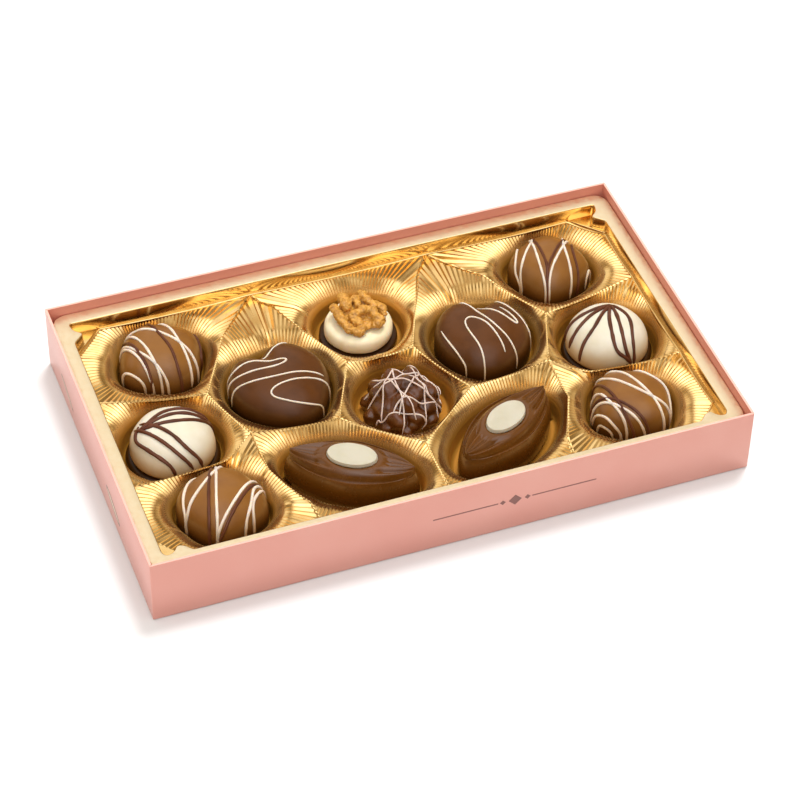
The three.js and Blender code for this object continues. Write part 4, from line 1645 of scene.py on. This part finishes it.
@dataclass
class Boat:
    """A moulded boat: ridges run from end to end and part round an oval of white chocolate."""

    side: str
    turn: float
    half: float = 22.0
    height: float = 13.4
    top_share: float = 0.915
    oval: tuple[float, float] = (8.3, 5.0)
    oval_top: float = 14.7
    oval_margin: float = 0.9
    oval_seat: float = 0.5
    hump: tuple[float, float] = (1.0, 1.35)
    seat: tuple[float, float] = (0.84, 0.9)
    edge_level: float = 0.73
    crown: float = 0.23
    crown_power: float = 2.4
    ridge_power: float = 0.7
    grid: tuple[int, int] = (110, 90)
    wall: tuple[tuple[float, float], ...] = (
        (0.94, 0.68), (0.965, 0.6), (0.985, 0.46), (1.0, 0.28), (1.0, 0.12), (0.985, 0.04), (0.95, 0.0))
    ridges: tuple[tuple[float, float, float], ...] = (
        (0.95, 0.035, 0.7), (0.84, 0.06, -0.9), (0.66, 0.08, 1.0), (0.46, 0.06, -0.8), (0.27, 0.07, 0.5),
        (0.1, 0.05, -0.6))

    def half_width(self, share: float) -> float:
        """The boat's half width at a place along it.

        Args:
            share: The place along, as a share of the half length.

        Returns:
            The half width.
        """
        power = BOAT_OUTLINE.power
        rest = max(0.0, 1 - min(1.0, abs(share)) ** power)
        return self.half * BOAT_OUTLINE.slender * rest ** (1 / power)

    def skin(self, x: float, across: float) -> float:
        """The height of the boat's top.

        Args:
            x: The place along.
            across: The share of the half width there.

        Returns:
            The height.
        """
        share = abs(across)
        half = self.half_width(x / (self.half * self.top_share))
        height = self.height * (self.edge_level + self.crown * (1 - share ** self.crown_power))
        relief = sum(depth * bell(share, middle, width) for middle, width, depth in self.ridges)
        y = across * half * self.top_share
        ring = math.hypot(x / (self.oval[0] + self.oval_margin), y / (self.oval[1] + self.oval_margin))
        hump = 1 - smoothstep(*self.hump, ring)
        seat = 1 - smoothstep(*self.seat, ring)
        height += relief * (half / self.half_width(0)) ** self.ridge_power * (1 - hump)
        height += (self.height - height) * hump - self.oval_seat * seat
        return height

    def body(self, palette: Palette) -> None:
        """The chocolate body.

        Args:
            palette: The finishes.
        """
        mesh = bmesh.new()
        bmesh.ops.create_grid(mesh, x_segments=self.grid[0], y_segments=self.grid[1], size=0.5)
        for vertex in mesh.verts:
            along = math.sin(vertex.co.x * math.pi)
            across = 2 * vertex.co.y
            x = along * self.half * self.top_share
            y = across * self.half_width(along) * self.top_share
            vertex.co = (x, y, self.skin(x, across))
        bmesh.ops.remove_doubles(mesh, verts=mesh.verts, dist=10 * MERGED)
        face_up(mesh)
        edges = [edge for edge in mesh.edges if edge.is_boundary]
        wide = self.top_share
        for share, level in self.wall:
            points, edges = extruded(mesh, edges)
            for point in points:
                point.co.x *= share / wide
                point.co.y *= share / wide
                point.co.z = level * self.height
            wide = share
        bmesh.ops.edgeloop_fill(mesh, edges=edges)
        bmesh.ops.recalc_face_normals(mesh, faces=mesh.faces)
        settle(mesh, PLACES[f"boat_{self.side}"], SEAT, self.turn)
        finish_piece(f"boat_{self.side}_body", mesh, [palette.moulded], [f"boat_{self.side}"])

    def oval_disc(self, palette: Palette) -> None:
        """The white oval, a little crowned, seated in the boat's top.

        Args:
            palette: The finishes.
        """
        low = self.height - 0.45
        rise = self.oval_top - low
        profile = [(0, 0), (7.7, 0), (8.1, 0.15), (8.3, 0.45), (8.25, 0.75), (7.9, rise - 0.2),
                   (7.2, rise - 0.08), (5.0, rise - 0.02), (2.5, rise), (0, rise)]
        mesh = spun(profile, 64, Superellipse(2, 0.6))
        roughen(mesh, 0.1, 5.0, 3.0 + self.turn)
        settle(mesh, PLACES[f"boat_{self.side}"], SEAT + low, self.turn)
        finish_piece(f"oval_{self.side}_disc", mesh, [palette.oval], [f"oval_{self.side}"])

    def build(self, palette: Palette) -> None:
        """Make the boat and its oval."""
        self.body(palette)
        self.oval_disc(palette)


@dataclass
class RoundPraline:
    """The marzipan praline on its dark foot, with half a walnut on top."""

    place: Plan = PLACES["round"]
    foot_radius: float = 13.2
    foot_height: float = 2.4
    radius: float = 11.5
    height: float = 5.6
    nut: tuple[float, float, float] = (10.2, 9.6, 6.8)
    nut_turn: float = -20.86
    lump: float = 1.0
    core: tuple[float, float, float] = (0.8, 0.82, 0.26)
    core_place: tuple[float, float] = (0.6, 0.2)
    bead: tuple[float, float, float] = (0.95, 0.2, 1.9)
    tip_loss: float = 0.16
    voxel: float = 0.26
    crease: float = 0.34
    crease_size: float = 1.5
    eaten: float = 0.24
    seam: float = 0.3
    lobes: tuple[tuple, ...] = (
        (1.6, (-8.4, 1.8, 3.6), (-6.8, -1.4, 3.6), (-5.4, -3.8, 3.2), (-3.8, -6.6, 2.6), (-0.8, -8.2, 1.9),
         (1.4, -8.0, 1.6)),
        (1.5, (0.1, -4.6, 3.6), (1.9, -7.2, 2.5)),
        (1.7, (-0.9, -2.4, 4.4), (2.2, -0.3, 4.9), (4.6, -0.5, 4.4), (6.2, -2.9, 3.5), (8.0, -3.4, 2.7),
         (5.7, -5.0, 2.3)),
        (1.5, (5.9, 3.9, 3.6), (8.1, 2.2, 3.0), (8.7, 0.5, 2.5)),
        (1.4, (0.2, 7.9, 5.2), (2.3, 5.1, 5.1), (4.2, 3.3, 4.6), (5.6, 2.2, 4.0)),
        (1.9, (-5.7, 6.6, 3.6), (-4.5, 4.4, 4.2), (-3.8, 0.7, 4.3)),
        (1.4, (-1.4, 6.0, 4.3), (-0.1, 2.6, 4.3)),
        (1.4, (-2.3, -2.6, 3.8), (-0.9, -4.9, 3.2)),
    )

    def foot(self, palette: Palette) -> None:
        """The dark foot.

        Args:
            palette: The finishes.
        """
        r, h = self.foot_radius, self.foot_height
        profile = [(0, 0), (r - 0.9, 0), (r - 0.3, 0.2), (r, 0.8), (r, h - 0.9), (r - 0.3, h - 0.25),
                   (r - 1.0, h), (r - 3, h), (0, h)]
        mesh = spun(profile, 72)
        roughen(mesh, 0.35, 6.0, 8.0)
        settle(mesh, self.place, SEAT, 0)
        finish_piece("marzipan_foot_disc", mesh, [palette.dark], ["marzipan_foot"])

    def body(self, palette: Palette) -> None:
        """The marzipan.

        Args:
            palette: The finishes.
        """
        r, h = self.radius, self.height
        profile = [(0, 0), (r - 0.7, 0), (r - 0.2, 0.3), (r, 0.9), (r, h * 0.4), (r - 0.1, h * 0.6),
                   (r - 0.5, h * 0.78), (r - 1.2, h * 0.92), (r - 2.2, h), (r - 4, h + 0.05), (0, h)]
        mesh = spun(profile, 80)
        roughen(mesh, 0.45, 7.0, 11.0)
        settle(mesh, self.place, SEAT + self.foot_height + self.seam, 0)
        finish_piece("marzipan_disc", mesh, [palette.marzipan], ["marzipan_body"])

    def walnut(self, palette: Palette) -> None:
        """The half walnut: thick curled lobes over a low core.

        Args:
            palette: The finishes.
        """
        mesh = bmesh.new()
        length, width, height = self.nut
        core = bmesh.ops.create_icosphere(mesh, subdivisions=3, radius=1)["verts"]
        bmesh.ops.scale(mesh, vec=[share * size for share, size in zip(self.core, self.nut)], verts=core)
        behind, above = self.core_place
        bmesh.ops.translate(mesh, vec=(0, behind, above * height), verts=core)
        even, swell, pace = self.bead
        for number, (thick, *points) in enumerate(self.lobes):
            path = flowing([Vector(point) for point in points], self.lump)
            for index, point in enumerate(path):
                tip = self.tip_loss * (index in (0, len(path) - 1))
                size = thick * (even + swell * math.sin(pace * index + number) - tip)
                ball = bmesh.ops.create_icosphere(mesh, subdivisions=2, radius=size)
                bmesh.ops.translate(mesh, vec=point, verts=ball["verts"])
        skin = melted(mesh, self.voxel, 2)
        for vertex in skin.verts:
            crease = abs(noise.noise(vertex.co / self.crease_size + Vector((4, 2, 7))))
            vertex.co += vertex.normal * (self.crease * min(1.0, crease * 3) - self.eaten)
            vertex.co.z = max(0.0, vertex.co.z)
            reach = math.hypot(vertex.co.x / length, vertex.co.y / width)
            if reach > 1:
                vertex.co.x /= reach
                vertex.co.y /= reach
        settle(skin, self.place, SEAT + self.foot_height + self.seam + self.height, self.nut_turn)
        finish_piece("walnut_kernel", skin, [palette.walnut], ["walnut_half"], sharp=180)

    def build(self, palette: Palette) -> None:
        """Make the three pieces.

        Args:
            palette: The finishes.
        """
        self.foot(palette)
        self.body(palette)
        self.walnut(palette)


@dataclass
class Cluster:
    """Nuts under dark chocolate, with fine pale threads drawn across from all sides."""

    place: Plan = PLACES["cluster"]
    radius: float = 14.2
    height: float = 15.6
    rings: tuple[tuple[float, int, float], ...] = (
        (0.1, 1, 4.3), (0.58, 5, 4.2), (1.02, 8, 4.1), (1.4, 11, 3.6))
    core_inset: tuple[float, float] = (2.2, 3.0)
    tilt_wobble: float = 0.22
    turn_wobble: float = 0.4
    out_wobble: float = 0.5
    nut: tuple[float, float, float] = (1.0, 0.8, 0.92)
    nut_wobble: tuple[float, float, float] = (0.3, -0.2, 0.0)
    nut_lift: float = 0.2
    voxel: float = 0.3
    ripple: float = 0.55
    ripple_size: float = 2.4

    def build(self, palette: Palette) -> None:
        """Make the cluster and its threads.

        Args:
            palette: The finishes.
        """
        mesh = bmesh.new()
        core = bmesh.ops.create_icosphere(mesh, subdivisions=4, radius=1)["verts"]
        wide, high = self.radius - self.core_inset[0], self.height - self.core_inset[1]
        bmesh.ops.scale(mesh, vec=(wide, wide, high), verts=core)
        for number, (lean, count, size) in enumerate(self.rings):
            for index in range(count):
                wobble = noise.noise(Vector((number * 5.3, index * 2.7, 0.5)))
                tilt = lean + self.tilt_wobble * wobble
                around = 2 * math.pi * (index + 0.5 * (number % 2)) / count + self.turn_wobble * wobble
                out = math.sin(tilt) * (self.radius - size + self.out_wobble * wobble)
                spot = (*heading(around) * out, math.cos(tilt) * (self.height - size) + self.nut_lift)
                lump = bmesh.ops.create_icosphere(mesh, subdivisions=3, radius=1)["verts"]
                stretch = (Vector(self.nut) + Vector(self.nut_wobble) * wobble) * size
                bmesh.ops.scale(mesh, vec=stretch, verts=lump)
                turn = Matrix.Rotation(around + 2 * wobble, 3, "Z")
                bmesh.ops.rotate(mesh, cent=(0, 0, 0), verts=lump, matrix=turn)
                bmesh.ops.translate(mesh, vec=spot, verts=lump)
        skin = melted(mesh, self.voxel, 4)
        for vertex in skin.verts:
            vertex.co += vertex.normal * self.ripple * noise.noise(vertex.co / self.ripple_size)
            vertex.co.z = max(0.0, vertex.co.z)
        threads = Threads(skin, lambda angle: self.radius, taut=True)
        settle(skin, self.place, SEAT, 0)
        finish_piece("nut_cluster_body", skin, [palette.glossy_dark], ["nut_cluster"], sharp=180)
        threads.piece("nut_cluster_threads", self.threads(), palette.pink_thread, Slot.WHITE, "nut_cluster",
                      self.place, SEAT, 0)

    def threads(self) -> tuple[Stroke, ...]:
        """The fine threads over the cluster.

        Returns:
            The threads.
        """
        return strokes(
            0.55,
            ((-7.8, 8.0), (-4.6, 2.2), (-1.6, -4.8), (0.2, -12.0)),
            ((-11.5, 5.2), (-6.0, 3.4), (0.4, -0.6), (5.6, -5.0), (9.6, -9.6)),
            ((-3.4, 11.2), (1.4, 4.8), (5.0, -1.6), (7.0, -6.6)),
            ((1.6, 12.4), (5.4, 7.2), (9.0, 0.6), (12.6, -4.8)),
            ((-4.8, -9.4), (-0.4, -4.2), (4.6, 1.4), (10.6, 8.2)),
            ((4.8, 6.8), (5.4, -1.2), (4.6, -8.6), (3.0, -13.0)),
            ((-6.4, -8.2), (-3.4, -5.4), (2.6, -8.0), (8.8, -7.6), (12.0, -8.0)),
            ((8.6, 9.2), (10.8, 3.8), (12.4, -2.6)),
            ((-12.6, -5.6), (-4.6, -8.6), (0.8, -11.0), (4.8, -12.6)),
            ((-12.0, 0.5), (-4.0, 0.8), (4.0, 3.4), (11.0, 4.4)),
            ((-9.6, -6.4), (-6.2, 0.4), (-1.6, 6.2), (3.8, 11.8)),
            ((-1.0, 8.8), (-2.4, 1.2), (-2.2, -6.8), (-4.6, -12.4)),
        )


def dome_feet(palette: Palette) -> None:
    """The dark feet of the two white domes.

    Args:
        palette: The finishes.
    """
    r, h = 15.2, 2.7
    profile = [(0, 0), (r - 1.0, 0), (r - 0.35, 0.2), (r, 0.9), (r - 0.05, h - 1.1), (r - 0.45, h - 0.35),
               (r - 1.2, h), (r - 4, h), (0, h)]
    for side, seed in (("left", 1.0), ("right", 6.0)):
        mesh = spun(profile, 80)
        roughen(mesh, 0.4, 6.0, seed)
        settle(mesh, PLACES[f"dome_{side}"], SEAT, 0)
        finish_piece(f"dome_foot_{side}_disc", mesh, [palette.dark], [f"dome_foot_{side}"])


# The stage.


@dataclass(frozen=True)
class Panel:
    """A white panel of the surroundings: its direction, its inner and outer angle, and its strength."""

    way: tuple[float, float, float]
    inner: float
    outer: float
    strength: float


@dataclass(frozen=True)
class Lamp:
    """A soft lamp that faces the box: its place, its width and height in metres, and its power."""

    name: str
    place: tuple[float, float, float]
    size: Plan
    power: float


@dataclass
class Stage:
    """The floor, the light and the camera."""

    target: tuple[float, float, float] = (4.473, 5.306, 0.0)
    azimuth: float = -20.8577
    elevation: float = 43.9550
    roll: float = 1.1412
    distance: float = 929.05
    lens: float = 126.41
    sensor: float = 36.0
    farthest: float = 20.0
    floor_half: float = 4.0
    floor_level: float = -0.0002
    floor_tone: tuple[float, float, float, float] = (0.76, 0.765, 0.775, 1.0)
    sun_way: tuple[float, float, float] = (0.27, 0.27, 1.0)
    sun_spread: float = 16.0
    sun_strength: float = 2.3
    lamps: tuple[Lamp, ...] = (
        Lamp("low_front", (0.1, -1.6, 0.05), (0.9, 0.08), 2.0),
        Lamp("low_left", (-1.5, 0.3, 0.05), (0.9, 0.08), 4.2),
    )
    ambient: float = 0.23
    ambient_tint: tuple[float, float, float, float] = (1.0, 0.74, 0.42, 1.0)
    white_from: float = 6.0
    panels: tuple[Panel, ...] = (
        Panel((-0.05, -0.25, 1.0), 14, 44, 1.68),
        Panel((0.08, 0.8, 0.66), 17, 38, 0.84),
        Panel((-0.3, -0.8, 0.5), 18, 44, 1.1),
        Panel((-0.9, 0.45, 0.45), 10, 34, 0.9),
        Panel((0.95, 0.35, 0.35), 8, 28, 0.4),
        Panel((0.85, -0.4, 0.35), 8, 30, 0.5),
    )

    def camera(self) -> None:
        """The camera at the photograph's viewing angle."""
        az, el, roll = (math.radians(value) for value in (self.azimuth, self.elevation, self.roll))
        back = Vector((math.sin(az) * math.cos(el), -math.cos(az) * math.cos(el), math.sin(el)))
        right = Vector((math.cos(az), math.sin(az), 0))
        up = back.cross(right)
        right_rolled = right * math.cos(roll) + up * math.sin(roll)
        up_rolled = up * math.cos(roll) - right * math.sin(roll)
        place = Matrix((right_rolled, up_rolled, back)).transposed().to_4x4()
        place.translation = (Vector(self.target) + back * self.distance) * MM
        data = bpy.data.cameras.new("camera")
        data.lens = self.lens
        data.sensor_width = self.sensor
        data.clip_end = self.farthest
        camera = bpy.data.objects.new("camera", data)
        camera.matrix_world = place
        bpy.context.scene.collection.objects.link(camera)
        bpy.context.scene.camera = camera

    def light(self, data: bpy.types.Light, way: tuple[float, float, float]) -> bpy.types.Object:
        """Hang a light that gloss and foil don't mirror.

        Args:
            data: The light.
            way: Where it shines from, seen from the box.

        Returns:
            The light's object.
        """
        lamp = bpy.data.objects.new(data.name, data)
        lamp.visible_glossy = False
        lamp.rotation_euler = Vector(way).to_track_quat("Z", "Y").to_euler()
        bpy.context.scene.collection.objects.link(lamp)
        return lamp

    def sun(self) -> None:
        """Broad even light from behind, the right and above."""
        data = bpy.data.lights.new("key", "SUN")
        data.energy = self.sun_strength
        data.angle = math.radians(self.sun_spread)
        self.light(data, self.sun_way)

    def low_lamps(self) -> None:
        """Soft lamps low in front and on the left, for the card's walls."""
        for lamp in self.lamps:
            data = bpy.data.lights.new(lamp.name, "AREA")
            data.shape = "RECTANGLE"
            data.size, data.size_y = lamp.size
            data.energy = lamp.power
            self.light(data, lamp.place).location = lamp.place

    def floor(self) -> None:
        """A plain pale floor."""
        mesh = bmesh.new()
        bmesh.ops.create_grid(mesh, x_segments=1, y_segments=1, size=self.floor_half)
        data = bpy.data.meshes.new("floor")
        mesh.to_mesh(data)
        mesh.free()
        graph = Graph("floor")
        graph.set(Base_Color=self.floor_tone, Roughness=0.9, Specular_IOR_Level=0.1)
        data.materials.append(graph.material)
        floor = bpy.data.objects.new("floor", data)
        floor.location.z = self.floor_level
        bpy.context.scene.collection.objects.link(floor)

    def glow(self, tree: bpy.types.NodeTree, panel: Panel, direction: bpy.types.NodeSocket,
             ) -> bpy.types.NodeSocket:
        """One white panel of the surroundings.

        Args:
            tree: The surroundings' node tree.
            panel: The panel.
            direction: The way that is looked in.

        Returns:
            How bright the panel is there.
        """
        towards = tree.nodes.new("ShaderNodeVectorMath")
        towards.operation = "DOT_PRODUCT"
        towards.inputs[1].default_value = Vector(panel.way).normalized()
        tree.links.new(direction, towards.inputs[0])
        glow = tree.nodes.new("ShaderNodeMapRange")
        glow.interpolation_type = "SMOOTHSTEP"
        glow.inputs["From Min"].default_value = math.cos(math.radians(panel.outer))
        glow.inputs["From Max"].default_value = math.cos(math.radians(panel.inner))
        glow.inputs["To Max"].default_value = panel.strength
        tree.links.new(towards.outputs["Value"], glow.inputs["Value"])
        return glow.outputs["Result"]

    def sky(self) -> None:
        """Dim surroundings with broad white panels, as in a photographer's tent."""
        world = bpy.data.worlds.new("surroundings")
        world.use_nodes = True
        tree = world.node_tree
        backdrop = tree.nodes["Background"]
        direction = tree.nodes.new("ShaderNodeTexCoord").outputs["Generated"]
        total: bpy.types.NodeSocket | None = None
        for panel in self.panels:
            added = tree.nodes.new("ShaderNodeMath")
            added.inputs[0].default_value = self.ambient
            if total:
                tree.links.new(total, added.inputs[0])
            tree.links.new(self.glow(tree, panel, direction), added.inputs[1])
            total = added.outputs[0]
        tree.links.new(total, backdrop.inputs["Strength"])
        tint = tree.nodes.new("ShaderNodeMix")
        tint.data_type = "RGBA"
        tint.inputs[6].default_value = self.ambient_tint
        tint.inputs[7].default_value = (1, 1, 1, 1)
        whiteness = tree.nodes.new("ShaderNodeMapRange")
        whiteness.inputs["From Min"].default_value = self.ambient
        whiteness.inputs["From Max"].default_value = self.white_from * self.ambient
        tree.links.new(total, whiteness.inputs["Value"])
        tree.links.new(whiteness.outputs["Result"], tint.inputs["Factor"])
        tree.links.new(tint.outputs[2], backdrop.inputs["Color"])
        bpy.context.scene.world = world

    def build(self) -> None:
        """Set up the stage."""
        scene = bpy.context.scene
        scene.view_settings.view_transform = "Standard"
        scene.view_settings.look = "None"
        self.camera()
        self.floor()
        self.sky()
        self.sun()
        self.low_lamps()


def main() -> None:
    """Build every piece in order."""
    logging.basicConfig(level=logging.INFO, format="%(name)s %(message)s")
    palette = Palette()
    Stage().build()
    CardBox().build(palette)
    TrayRim().build(palette)
    for pocket in pockets():
        pocket.build(palette)
    for praline in threaded_pralines():
        praline.build(palette)
    dome_feet(palette)
    for side, turn in (("left", -31.0), ("right", 31.0)):
        Boat(side, turn).build(palette)
    RoundPraline().build(palette)
    Cluster().build(palette)


if __name__ == "__main__":
    main()
